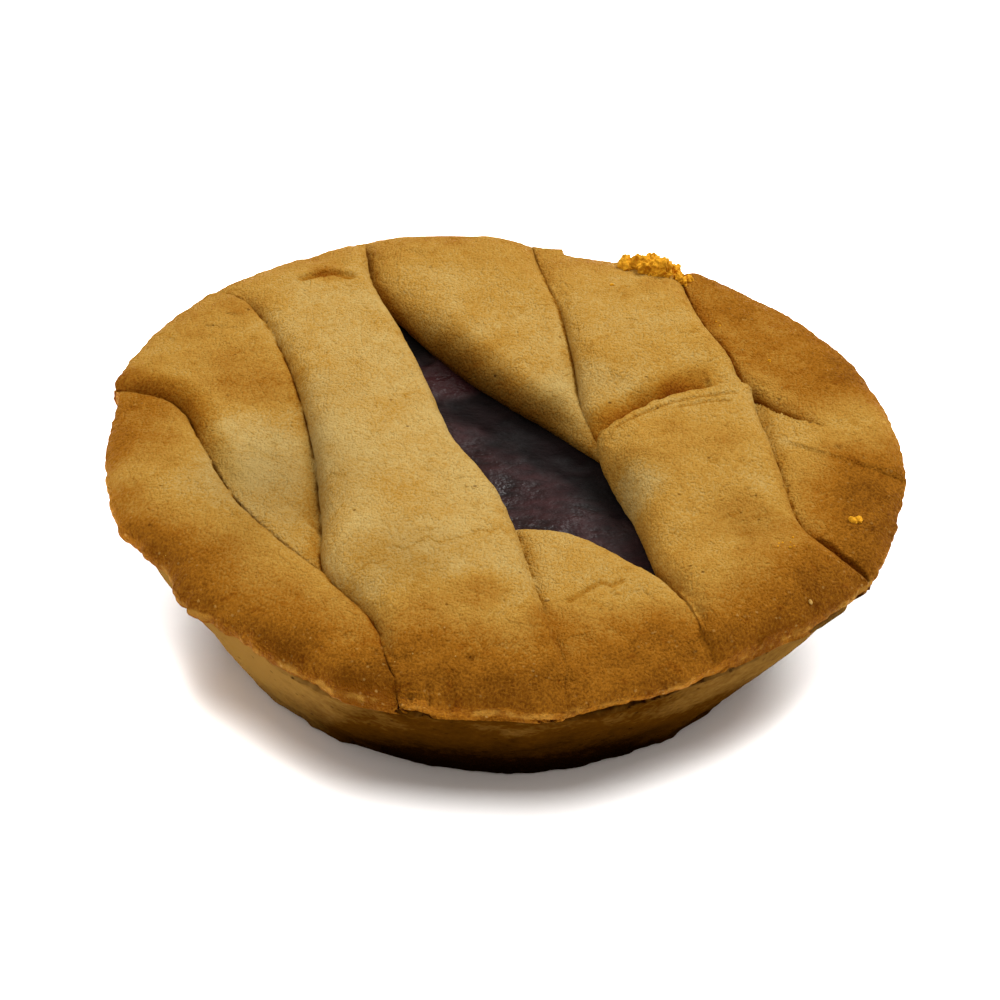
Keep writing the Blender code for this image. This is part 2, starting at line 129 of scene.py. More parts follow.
# The bands. Each has a left and a right edge, from its start to its end, in millimetres on the plan.
# crown is the height of its back along the length, left_foot and right_foot where its sides end.
# left_round and right_round are the shares of the width that roll down, start_round and end_round
# those of the length. The edge ("arc", from, to) is the lid's own between two angles, and the point
# ("in", angle, depth) lies inside it. joins is 0 where a band's seams don't close with those on it.
BANDS = {
    "rim_band_left": dict(
        left=("arc", 166, 257.5),
        right=(("in", 166, 2.2), (-40.8, 8), (-36, -2.2), (-30.9, -13), (-24.2, -22.2),
               (-17.8, -29.4), (-12.8, -37.4), (-12.2, -43), ("in", 257.5, 0)),
        crown=(23.4, 24.4, 25.2, 25.5, 25.4, 25, 24.6),
        left_foot=(22.4, 22, 22), right_foot=(22, 22.2, 22.4, 22.6, 22.8, 22.8, 22.4),
        left_round=0.55, right_round=0.24, start_round=0.04, end_round=0.03,
    ),
    "rim_band_right": dict(
        left=(("in", 61.4, 2.5), (23.2, 34), (24.4, 27), (27.4, 20), (31, 13.4), (37.2, 6.2),
              (43.4, 0.4), ("in", -0.5, 2)),
        right=("arc", 61.4, -0.5),
        crown=(24, 24.2, 24.6, 24.9, 25, 24.8, 24.4),
        left_foot=(22.8, 22.4, 22.4, 22.6, 22.8, 22.8), right_foot=(23.2, 22.8, 22.4),
        left_round=0.2, right_round=0.42, start_round=0.05, end_round=0.2, joins=0,
    ),
    "band_under_left": dict(
        left=(("in", 166.8, 0), (-41.6, 7.8), (-36.8, -2.6), (-31.8, -14), (-25, -23), (-17, -30.5),
              (-5, -36.5), (5.4, -42), ("in", -83.5, 0)),
        right=(("in", 139, 0), (-34, 31.9), (-28, 24), (-18, 11), (-7.5, -5), (1, -15.2),
               (9.1, -16.7), (15.8, -21.8), (20.8, -26.4), (25, -32.5), ("in", -55.5, 0)),
        crown=(25, 25.2, 24.7, 24, 23.7, 24.4, 24.9, 24.5),
        left_foot=(22.8, 23.2, 23.6, 23.6, 23, 22.8, 22.6),
        right_foot=(23.4, 23.2, 22.8, 22.6, 22, 22, 22.8),
        left_round=(0.08, 0.13, 0.2, 0.2, 0.16, 0.14, 0.14), right_round=0.14,
        start_round=0.06, end_round=0.15, start_lip=23.4, rim_start=True, rim_end=True,
    ),
    "band_under_right": dict(
        left=(("in", 112.2, 0), (-18.4, 41.5), (-18.2, 36.5), (-13.4, 29.4), (-3.8, 16.8), (5.6, 7.6),
              (12.4, 0.6), (21, -9), (31.5, -15.6), (39.2, -19.9), ("in", -27.8, 0)),
        right=(("in", 86.2, 0), (5.6, 41), (13.5, 31.5), (22, 21.5), (30.5, 14), (37.8, 7.3),
               (44, 3.9), ("in", 3.6, 0)),
        crown=(26.3, 25.9, 25.2, 24.2, 23.6, 24, 24.7, 25),
        left_foot=(23, 22.1, 22.1, 22.1, 22.2, 22.6, 23),
        right_foot=(22.6, 22.4, 22.4, 23.2, 24.2, 24.4),
        left_round=0.26, right_round=(0.34, 0.3, 0.2, 0.08, 0.06),
        start_round=0.09, end_round=0.16, start_lip=23.4, rim_start=True, rim_end=True,
    ),
    "band_over_left": dict(
        left=(("in", 138.2, 0), (-34.2, 30.4), (-29.6, 21.2), (-25.6, 8.4), (-23, -4.5), (-21.6, -16),
              (-20.4, -28), (-14.2, -37.4), (-12.5, -43), ("in", 258, 0)),
        right=(("in", 112.8, 0), (-19, 42), (-17.7, 36), (-12.7, 22.9), (-8.6, 9.8), (-5, -1.9),
               (0.2, -11.6), (1.9, -17), (3.6, -25), (5.9, -35.3), (8, -43), ("in", -81, 0)),
        crown=(25.3, 26.2, 26.8, 27, 27.2, 27, 26.4, 25.2),
        left_foot=(24.2, 24.5, 24.4, 24.2, 23.8, 23.6, 23),
        right_foot=(25, 24, 22.4, 22.2, 23.4, 24, 24.2, 23.6),
        left_round=0.2, right_round=0.14, start_round=0.08, end_round=0.14,
        start_lip=23.2, rim_start=True, rim_end=True,
    ),
    "band_over_right_back": dict(
        left=(("in", 85.7, 0), (4.7, 39.5), (7.2, 29.5), (8.9, 19.5), (10.4, 8.4), (12.8, 1.6)),
        right=(("in", 62, 0), (23.7, 37), (24.9, 32), (26.2, 27.5), (29, 21.4), (30.8, 13.4)),
        crown=(23.8, 25.3, 26.2, 26.3, 25.7, 24.2),
        left_foot=(23, 24.4, 24.6, 24.2, 23.4, 22.6),
        right_foot=(23, 24, 24.2, 24.4, 24.2),
        left_round=0.18, right_round=0.16, start_round=0.12, end_round=0.02,
        end_lip=23.2, rim_start=True,
    ),
    "band_over_right_front": dict(
        left=((12.5, 1.2), (13.1, -3.2), (16.6, -12.8), (19.5, -24), (22.5, -31), ("in", -57.4, 0)),
        right=((31.3, 13.2), (32.5, 6), (35.1, -6.4), (37.4, -16.7), (40.6, -21), ("in", -28.3, 0)),
        crown=(26.7, 27, 26.6, 25.9, 25.7, 26.2, 25.6),
        left_foot=(24.4, 22.4, 22.2, 22.2, 23.2, 23.2),
        right_foot=(24.8, 24.8, 24.8, 24.6, 24.4, 24),
        left_round=0.2, right_round=0.14, start_round=0.03, end_round=0.2,
        start_lip=(25.6, 26.2, 26.3, 26.1, 25.4, 25), start_bulge=2, rim_end=True,
    ),
}

# From the lowest band to the topmost: each lies on those before it
LAYERS = (
    "rim_band_left", "rim_band_right", "band_under_left", "band_under_right",
    "band_over_left", "band_over_right_back", "band_over_right_front",
)

# How brown each band is baked away from the rim, from 0 for pale to 1 for scorched
BAKE = {
    "rim_band_left": 0.34, "rim_band_right": 0.55, "band_under_left": 0.20, "band_under_right": 0.24,
    "band_over_left": 0.16, "band_over_right_back": 0.30, "band_over_right_front": 0.30,
}

# Browner (above 0) and paler places of the whole lattice: x, y, reach and amount
# In the fold near (-23.8, 35.8) and in the dip near (24, 13) and (14, 6) the browning is partly painted
# shade
BAKE_SPOTS = (
    (-5, -45, 16, 0.15), (30, -36, 16, 0.05), (12, -40, 12, 0.14), (-40, 27, 14, 0.08),
    (24, 13, 6, 0.15), (14, 6, 4, 0.15), (43, -5, 13, 0.18), (31, 12, 8, -0.1), (-27, -4, 14, -0.16),
    (0, 44, 12, 0.08), (41, -14, 8, 0.1), (-26, -34, 12, -0.1), (-7, -37, 8, 0.12), (8, 12, 8, -0.2),
    (7, -36, 5, 0.15), (46, 10, 12, -0.02), (-10, -5, 12, -0.08), (-42, -12, 17, -0.3),
    (12, -25, 10, 0.08), (29, -15, 8, 0.14), (14, -47.5, 7, -0.12), (-32, 13, 11, 0.36),
    (16.5, -10, 6, -0.3), (-23.8, 35.8, 3.4, 0.34), (-26, 43, 9, 0.16), (-8, 50, 8, 0.12),
    (10, -38, 9, 0.08), (-14, -28, 10, 0.06), (26, 0, 10, 0.05), (-16.8, -43, 6, -0.18),
    (-32.5, -34.3, 9, -0.12), (-1.9, -32.6, 5, 0.32), (5.2, -36.1, 7, 0.18), (18.2, -35.4, 6, 0.24),
    (3.1, -47.5, 6, 0.12), (24, -43, 6, -0.12), (44.6, 7.3, 9, -0.14), (-33.5, 30.4, 7, 0.1),
    (-44.7, -4.3, 7, 0.1), (-43, 21, 6, -0.1), (-33.2, 7.3, 7, 0.12), (-46.5, -7, 6, -0.16),
    (45.5, 9, 9, -0.1), (49, -1, 7, -0.12), (-9, -31.5, 6, 0.1),
)

# Places where soft shade is painted by dulling the dough's colour, in the same form
DUSK_SHADE_SPOTS = (
    (-27, -10, 16, 0.34), (-24, 6, 10, 0.12), (9, 13, 9, 0.14), (-12, -27, 10, 0.2), (15.5, -8, 8, 0.26),
    (-31, -24, 8, 0.1), (30, -17, 7, 0.12),
)


def smooth_path(points, samples=400):
    """A smooth curve through the points, as the share of its length and the position there."""
    points = np.array(points, float)
    steps = np.linalg.norm(np.diff(points, axis=0), axis=1)
    knots = np.concatenate([[0.0], np.cumsum(steps)])
    slopes = np.gradient(points, knots, axis=0)
    t = np.linspace(0.0, knots[-1], samples)
    i = np.clip(np.searchsorted(knots, t, side="right") - 1, 0, len(knots) - 2)
    h = (knots[i + 1] - knots[i])[:, None]
    f = (t - knots[i])[:, None] / h
    position = (
        (2 * f**3 - 3 * f**2 + 1) * points[i]
        + (f**3 - 2 * f**2 + f) * h * slopes[i]
        + (3 * f**2 - 2 * f**3) * points[i + 1]
        + (f**3 - f**2) * h * slopes[i + 1]
    )
    lengths = np.concatenate([[0.0], np.cumsum(np.linalg.norm(np.diff(position, axis=0), axis=1))])
    return lengths / lengths[-1], position


def along(path, share):
    """The position on a smooth path at a share of its length."""
    shares, position = path
    return np.stack([np.interp(share, shares, position[:, k]) for k in (0, 1)], axis=-1)


def profile(values, share):
    """A quantity given at even spacing along a band, read smoothly at a share of its length."""
    if np.isscalar(values):
        return np.full_like(share, values)
    path = smooth_path([(10 * k, v) for k, v in enumerate(values)], 200)[1]
    return np.interp(share, path[:, 0] / path[-1, 0], path[:, 1])


def rim_curve():
    """The lid's uneven edge as a fine curve of angle in degrees and radius."""
    wrapped = [(a + turn, r) for turn in (-360, 0, 360) for a, r in RIM_OUTLINE]
    return smooth_path([(a, r) for a, r in wrapped if -230 <= a <= 230], 1600)[1]


RIM_CURVE = rim_curve()


def rim_radius(angle):
    """Radius of the lid's uneven edge at an angle in radians."""
    degrees = np.degrees(np.arctan2(np.sin(angle), np.cos(angle)))
    return np.interp(degrees, RIM_CURVE[:, 0], RIM_CURVE[:, 1])


def inside_rim(degrees, depth):
    """The point a given depth inward of the lid's edge at an angle in degrees."""
    angle = np.radians(degrees)
    radius = float(rim_radius(angle)) - depth
    return radius * np.cos(angle), radius * np.sin(angle)


def edge_path(edge):
    """A band's edge as a smooth path, from its points or its stretch of the rim."""
    if edge[0] == "arc":
        return smooth_path([inside_rim(a, 0) for a in np.linspace(edge[1], edge[2], 13)])
    return smooth_path([inside_rim(*p[1:]) if p[0] == "in" else p for p in edge])


def smooth_step(low, high, value):
    """Rises smoothly from 0 to 1 as the value goes from low to high, which may be the lesser."""
    share = np.clip((value - low) / (high - low), 0, 1)
    return share * share * (3 - 2 * share)


LATTICE = 48
TILT = np.array(Matrix.Rotation(0.6, 3, "X") @ Matrix.Rotation(0.9, 3, "Y") @ Matrix.Rotation(0.5, 3, "Z"))


def lumps(points, size, seed):
    """Smooth random values from -1 to 1 at points in millimetres, in lumps of about this size."""
    lattice = np.random.default_rng(seed).uniform(-1, 1, LATTICE**3)
    place = points @ TILT / size + seed * 7.31
    low = np.floor(place)
    share = place - low
    share = share * share * (3 - 2 * share)
    low = low.astype(int)
    cells = [(low + k) % LATTICE * (LATTICE**2, LATTICE, 1) for k in (0, 1)]
    weights = (1 - share, share)
    total = np.zeros(len(points))
    for a, b, c in np.ndindex(2, 2, 2):
        value = lattice[cells[a][:, 0] + cells[b][:, 1] + cells[c][:, 2]]
        total += value * weights[a][:, 0] * weights[b][:, 1] * weights[c][:, 2]
    return total


def layered(points, layers):
    """The sum of layers of lumps, each with its amount, size and seed."""
    return sum(amount * lumps(points, size, seed) for amount, size, seed in layers)


def plan_of(points):
    """The plan positions of points in space."""
    return points[:, :2]


def on_plan(plan):
    """Points of the plan as points in space at no height."""
    return np.column_stack([plan, np.zeros(len(plan))])


def from_line(plan, line, limit=5.0):
    """Distance of points of the plan from a line of straight pieces, told only within a limit."""
    line = np.array(line, float)
    nearest = np.full(len(plan), np.inf)
    for a, b in zip(line, line[1:]):
        run = b - a
        room = np.abs(run) / 2 + limit
        close = np.flatnonzero((np.abs(plan - (a + b) / 2) < room).all(axis=1))
        share = np.clip((plan[close] - a) @ run / max(run @ run, 1e-9), 0, 1)
        offset = plan[close] - a - share[:, None] * run
        nearest[close] = np.minimum(nearest[close], np.hypot(offset[:, 0], offset[:, 1]))
    return nearest


def spots(plan, places):
    """The sum of smooth round spots, each with x, y, reach and height, at points of the plan."""
    total = np.zeros(len(plan))
    for x, y, reach, height in places:
        distance = np.hypot(plan[:, 0] - x, plan[:, 1] - y) / reach
        total += height * np.clip(1 - distance**2, 0, 1) ** 2
    return total


def edge_roll(share, start_round, end_round):
    """Warps an even 0..1 spacing so that points crowd a little into each rolled edge. Gives the
    new spacing and how high the roll has risen there, from 0 at the edge to 1 on the flat."""
    start_part = 1.3 * start_round + 0.02
    end_part = 1.3 * end_round + 0.02
    whole = start_part + end_part + 1 - start_round - end_round
    start_bend = start_part / whole
    end_bend = end_part / whole
    flat = start_round + (share - start_bend) / (1 - start_bend - end_bend) * (1 - start_round - end_round)
    from_start = np.clip(share / start_bend, 0, 1) * np.pi / 2
    from_end = np.clip((1 - share) / end_bend, 0, 1) * np.pi / 2
    warped = np.where(share < start_bend, start_round * (1 - np.cos(from_start)), flat)
    warped = np.where(share > 1 - end_bend, 1 - end_round * (1 - np.cos(from_end)), warped)
    return warped, np.minimum(np.sin(from_start), np.sin(from_end))


# How far the bands' sides spread at the rim, where the CAD keeps its small gaps, and how much
# lower than the CAD's their sides end, so that they roll into the seams
SPREAD = 0.45
FOOT_DROP = 0.35
LOWEST_FOOT = CASE_TOP + 0.3

# The share of a band's length over which its end follows the rim or bulges, how deep its edge may
# sink into the dough below it, and how far its back rises from there at the least
END_SHARE = 0.3
EDGE_SINK = 0.6
LAYER_GAP = 0.75


def start_direction(band):
    """The way in which a band points at its start, on the plan."""
    share = np.array([0.0, 0.2])
    middle = (along(edge_path(band["left"]), share) + along(edge_path(band["right"]), share)) / 2
    return (middle[0] - middle[1]) / np.linalg.norm(middle[0] - middle[1])


def band_surface(band, u, v, bed):
    """Plan position, top height and rise of the rolled edges of a band that lies on the map of the
    dough before it, at shares u of its length and v of its width."""
    length, end_rise = edge_roll(u, band["start_round"], band["end_round"])
    left_round = profile(band["left_round"], length)
    right_round = profile(band["right_round"], length)
    width, side_rise = edge_roll(v, left_round, right_round)
    left = along(edge_path(band["left"]), length)
    right = along(edge_path(band["right"]), length)
    across = right - left
    span = np.linalg.norm(across, axis=1)
    near_end = np.maximum(smooth_step(0.15, 0.0, length), smooth_step(0.85, 1.0, length))
    spread = (SPREAD * near_end / np.maximum(span, 1))[:, None] * across
    left = left - spread
    across = across + 2 * spread
    plan = left + across * width[:, None]

    radius = np.linalg.norm(plan, axis=1)
    reach = rim_radius(np.arctan2(plan[:, 1], plan[:, 0]))
    pull = np.zeros_like(u)
    if band.get("rim_start"):
        pull += np.clip(1 - length / END_SHARE, 0, 1) ** 2
    if band.get("rim_end"):
        pull += np.clip(1 - (1 - length) / END_SHARE, 0, 1) ** 2
    sag = 4 * width * (1 - width) * span**2 / (8 * RIM_RADIUS)
    plan *= (1 + pull * sag / np.maximum(radius, 1.0))[:, None]
    over = np.maximum(np.linalg.norm(plan, axis=1) / reach, 1.0)
    plan /= over[:, None]

    bulge = band.get("start_bulge", 0) * 4 * width * (1 - width)
    bulge *= np.clip(1 - length / END_SHARE, 0, 1) ** 2
    plan += bulge[:, None] * start_direction(band)
    lip = profile(band.get("start_lip", LIP), width) * (1 - length) + band.get("end_lip", LIP) * length
    foot = profile(band["left_foot"], length) * (1 - width) + profile(band["right_foot"], length) * width
    under = bed[cell_of(plan)]
    strength = seam_strength(plan)
    on_dough = smooth_step(CASE_TOP + 0.5, CASE_TOP + 1.5, under) * strength
    foot = np.maximum(foot - FOOT_DROP * on_dough, LOWEST_FOOT)
    shut = (1 - strength) * smooth_step(1.5, 6.0, reach - np.linalg.norm(plan, axis=1))
    shut *= band.get("joins", 1.0)
    flush = shut * smooth_step(0.95, 0.35, side_rise)
    side_rise = side_rise + (1 - side_rise) * 0.96 * shut
    crown = profile(band["crown"], length) + spots(plan, RELIEF) * np.minimum(side_rise, end_rise)
    height = lip + end_rise * (foot + (crown - foot) * side_rise - lip)
    flush *= smooth_step(CASE_TOP + 2.4, CASE_TOP + 3.0, under)
    height += flush * (under + LAYER_STEP - height)
    rise = np.minimum(side_rise, end_rise)
    lowest = under - EDGE_SINK + LAYER_GAP * smooth_step(0.0, 0.55, rise)
    return plan, np.maximum(height, lowest), rise


def cell_of(plan):
    """The map cells that points of the plan fall in."""
    cells = np.round((plan + MAP_REACH) / MAP_CELL).astype(int)
    return cells[..., 0], cells[..., 1]


def lay_on(bed, plan, top):
    """Adds one more band to the map of the dough laid so far."""
    i, j = cell_of(plan)
    for a in (-1, 0, 1):
        for b in (-1, 0, 1):
            np.maximum.at(bed, (i + a, j + b), top)


def settle_edges(top, columns):
    """Keeps each side of a band from dipping inward of its edge, over a number of its columns."""
    top[:, :columns] = np.maximum.accumulate(top[:, :columns], axis=1)
    top[:, -columns:] = np.maximum.accumulate(top[:, :-columns - 1:-1], axis=1)[:, ::-1]


def as_mesh(name, bm):
    """Closes a bmesh into a linked, smooth-shaded object."""
    mesh = bpy.data.meshes.new(name)
    bm.to_mesh(mesh)
    bm.free()
    mesh.shade_smooth()
    obj = bpy.data.objects.new(name, mesh)
    bpy.context.scene.collection.objects.link(obj)
    return obj


def points_of(mesh):
    """A mesh's points as an array in millimetres."""
    co = np.empty(len(mesh.vertices) * 3)
    mesh.vertices.foreach_get("co", co)
    return co.reshape(-1, 3) / MM


def move_points(mesh, points):
    """Puts a mesh's points at new places in millimetres."""
    mesh.vertices.foreach_set("co", (points * MM).ravel())
    mesh.update()


def normals_of(mesh):
    """A mesh's point normals as an array."""
    normals = np.empty(len(mesh.vertices) * 3)
    mesh.vertex_normals.foreach_get("vector", normals)
    return normals.reshape(-1, 3)


def paint(mesh, name, values):
    """Stores a value for each point of a mesh, for its material to read."""
    attribute = mesh.attributes.new(name, "FLOAT", "POINT")
    attribute.data.foreach_set("value", np.asarray(values, np.float32))


def grid_shell(long_steps, cross_steps):
    """A flat grid with a skirt of a few rows round it and a face that closes the bottom. The
    grid's points lie at whole numbers, and each skirt row one lower than the last."""
    bm = bmesh.new()
    bmesh.ops.create_grid(bm, x_segments=long_steps, y_segments=cross_steps, size=0.5)
    bmesh.ops.translate(bm, vec=(0.5, 0.5, 0), verts=bm.verts[:])
    bmesh.ops.scale(bm, vec=(long_steps, cross_steps, 1), verts=bm.verts[:])
    edges = [e for e in bm.edges if e.is_boundary]
    for _ in range(SKIRT_ROWS):
        geom = bmesh.ops.extrude_edge_only(bm, edges=edges)["geom"]
        verts = [g for g in geom if isinstance(g, bmesh.types.BMVert)]
        bmesh.ops.translate(bm, vec=(0, 0, -1), verts=verts)
        edges = [g for g in geom if isinstance(g, bmesh.types.BMEdge) and g.is_boundary]
    bmesh.ops.contextual_create(bm, geom=edges)
    return bm


# Layers of lumps that shape the pieces: amount, size in millimetres and seed. BITE_REACH is how far
# in from the rim its bites go, and WANDER how far dents and cracks stray from their places.
RIM_BITES = ((0.26, 4.3, 11), (0.14, 1.3, 12), (0.10, 0.5, 13))
BITE_REACH = 3.0
WANDER = 0.12
DOUGH_SWELL = ((1.0, 8.0, 21), (0.6, 3.6, 22), (0.4, 2.1, 27))
DOUGH_GRAIN = ((1.0, 1.5, 23), (0.8, 0.8, 24), (0.6, 0.5, 25))
DOUGH_KNOBS = ((0.22, 2.6, 28), (0.13, 1.2, 29))
DOUGH_BROWNING = ((0.06, 7.0, 41), (0.05, 2.6, 42))
WALL_LUMPS = ((0.28, 7.0, 51), (0.16, 3.0, 52), (0.07, 1.3, 53), (0.04, 0.7, 54))
WALL_FOOT_LUMPS = ((0.32, 4.1, 56), (0.22, 1.3, 57))
JAM_WRINKLES = ((0.07, 1.3, 62), (0.03, 0.6, 63))
CRUMB_CLODS = ((0.42, 0.75, 71), (0.22, 0.32, 72))


def worn_edge(angle):
    """How worn the lid's edge is at an angle in radians: most at the left and a little at the right."""
    turn = np.degrees(angle)
    left = smooth_step(-176, -166, turn) * smooth_step(-118, -132, turn)
    return left + 0.7 * smooth_step(-34, -29, turn) * smooth_step(2, -6, turn)


def ragged(points, reach):
    """Pulls the lid's rim in by small torn bites, more so the nearer to its edge."""
    angle = np.arctan2(points[:, 1], points[:, 0])
    radius = np.hypot(points[:, 0], points[:, 1])
    ring = np.column_stack([np.cos(angle), np.sin(angle), np.zeros(len(angle))]) * RIM_RADIUS
    worn = 0.6 * np.minimum(lumps(ring, 3.3, 14), 0) + 0.45 * np.minimum(lumps(ring, 1.1, 18), 0.2)
    worn += 0.22 * lumps(ring, 0.6, 19)
    bites = layered(ring, RIM_BITES) + worn_edge(angle) * worn
    near = smooth_step(reach - BITE_REACH, reach, radius)
    factor = 1 + bites * near / np.maximum(radius, 1)
    points[:, :2] *= factor[:, None]


# How deep, and how far from the seam, a band rolls down to the edge of the one that lies on it
SEAM_DEPTH = 0.55
SEAM_REACH = 2.2

# The fine broken line along a seam, how much shade is painted into seams, cracks and pits, and how pale
# torn edges are
SEAM_CUT = 0.30
SEAM_CUT_WIDTH = 0.3
SEAM_SHADE = 0.8
CRACK_SHADE = 0.30
PIT_SHADE = 0.10
TORN_SHADE = 0.55

# Where the seams are baked shut: x, y, reach, how much, and how brown the dough is there
SEAM_FADES = (
    (7, -40, 11, 1.5, 0.2), (24, -40, 12, 1.9, 0.27), (2, 50, 7, 0.8, 0.27), (-19, 48, 6, 1, 0.2),
    (46, 2.5, 11, 1.8, 0.3), (-38, 33, 5, 0.8, 0.18), (-11.5, -48, 5, 0.7, 0.26),
    (3.5, -28, 7, 0.5, 0.18),
)

# The line along which the front band folds back on itself, over the back one
FOLD = (
    (12.9, 2), (14.3, 3.9), (17.6, 6.1), (20.1, 7.8), (22.7, 9.7), (25.6, 11.9), (28.5, 13.4),
)
FOLD_REACH = 6.0
FOLD_DEPTH = 0.8


def fold_strength(plan):
    """How deep the fold is, from 1 at its left to 0 where the two parts are baked together."""
    return smooth_step(28.5, 23.0, plan[:, 0])


def shoulder(distance, depth, reach):
    """How far dough rolls down at a distance from a seam: steep beside it and level at its reach."""
    share = np.clip(1 - distance / reach, 0, 1)
    return depth * (1 - np.sqrt(1 - share**2))


def seam_strength(plan):
    """How open the seams are, from 0 where they are baked shut to 1."""
    return np.clip(1 - spots(plan, [fade[:4] for fade in SEAM_FADES]), 0, 1)


def band_lines(name, plan):
    """Distance of points of the plan from the lines where later bands lie on this one."""
    nearest = np.full(len(plan), np.inf)
    for other in LAYERS[LAYERS.index(name) + 1:]:
        for side in ("left", "right"):
            line = edge_path(BANDS[other][side])[1][::8]
            nearest = np.minimum(nearest, from_line(plan, line))
    return nearest


def shared_tone(name, plan):
    """How brown a band is by itself, drawn towards one tone where its seams are baked shut."""
    total = np.zeros(len(plan))
    drawn = np.zeros(len(plan))
    for fade in SEAM_FADES:
        weight = np.clip(spots(plan, (fade[:4],)), 0, 1)
        total += weight
        drawn += weight * (fade[4] - BAKE[name])
    return BAKE[name] + drawn / np.maximum(total, 1)


def browning(name, points, rise):
    """How brown the dough of a band is at its points."""
    plan = points[:, :2]
    radius = np.hypot(plan[:, 0], plan[:, 1])
    front = smooth_step(30, -25, plan[:, 1])
    tone = shared_tone(name, plan) + smooth_step(33, 50, radius) * (0.15 + 0.40 * front)
    tone += spots(plan, BAKE_SPOTS)
    if name == "rim_band_left":
        tone += 0.08 * smooth_step(45.0, 48.0, radius) * spots(plan, ((-28.0, -37.0, 17.0, 1.0),))
    tone += 0.08 * (1 - rise)
    return np.clip(tone + layered(points, DOUGH_BROWNING), 0, 1)


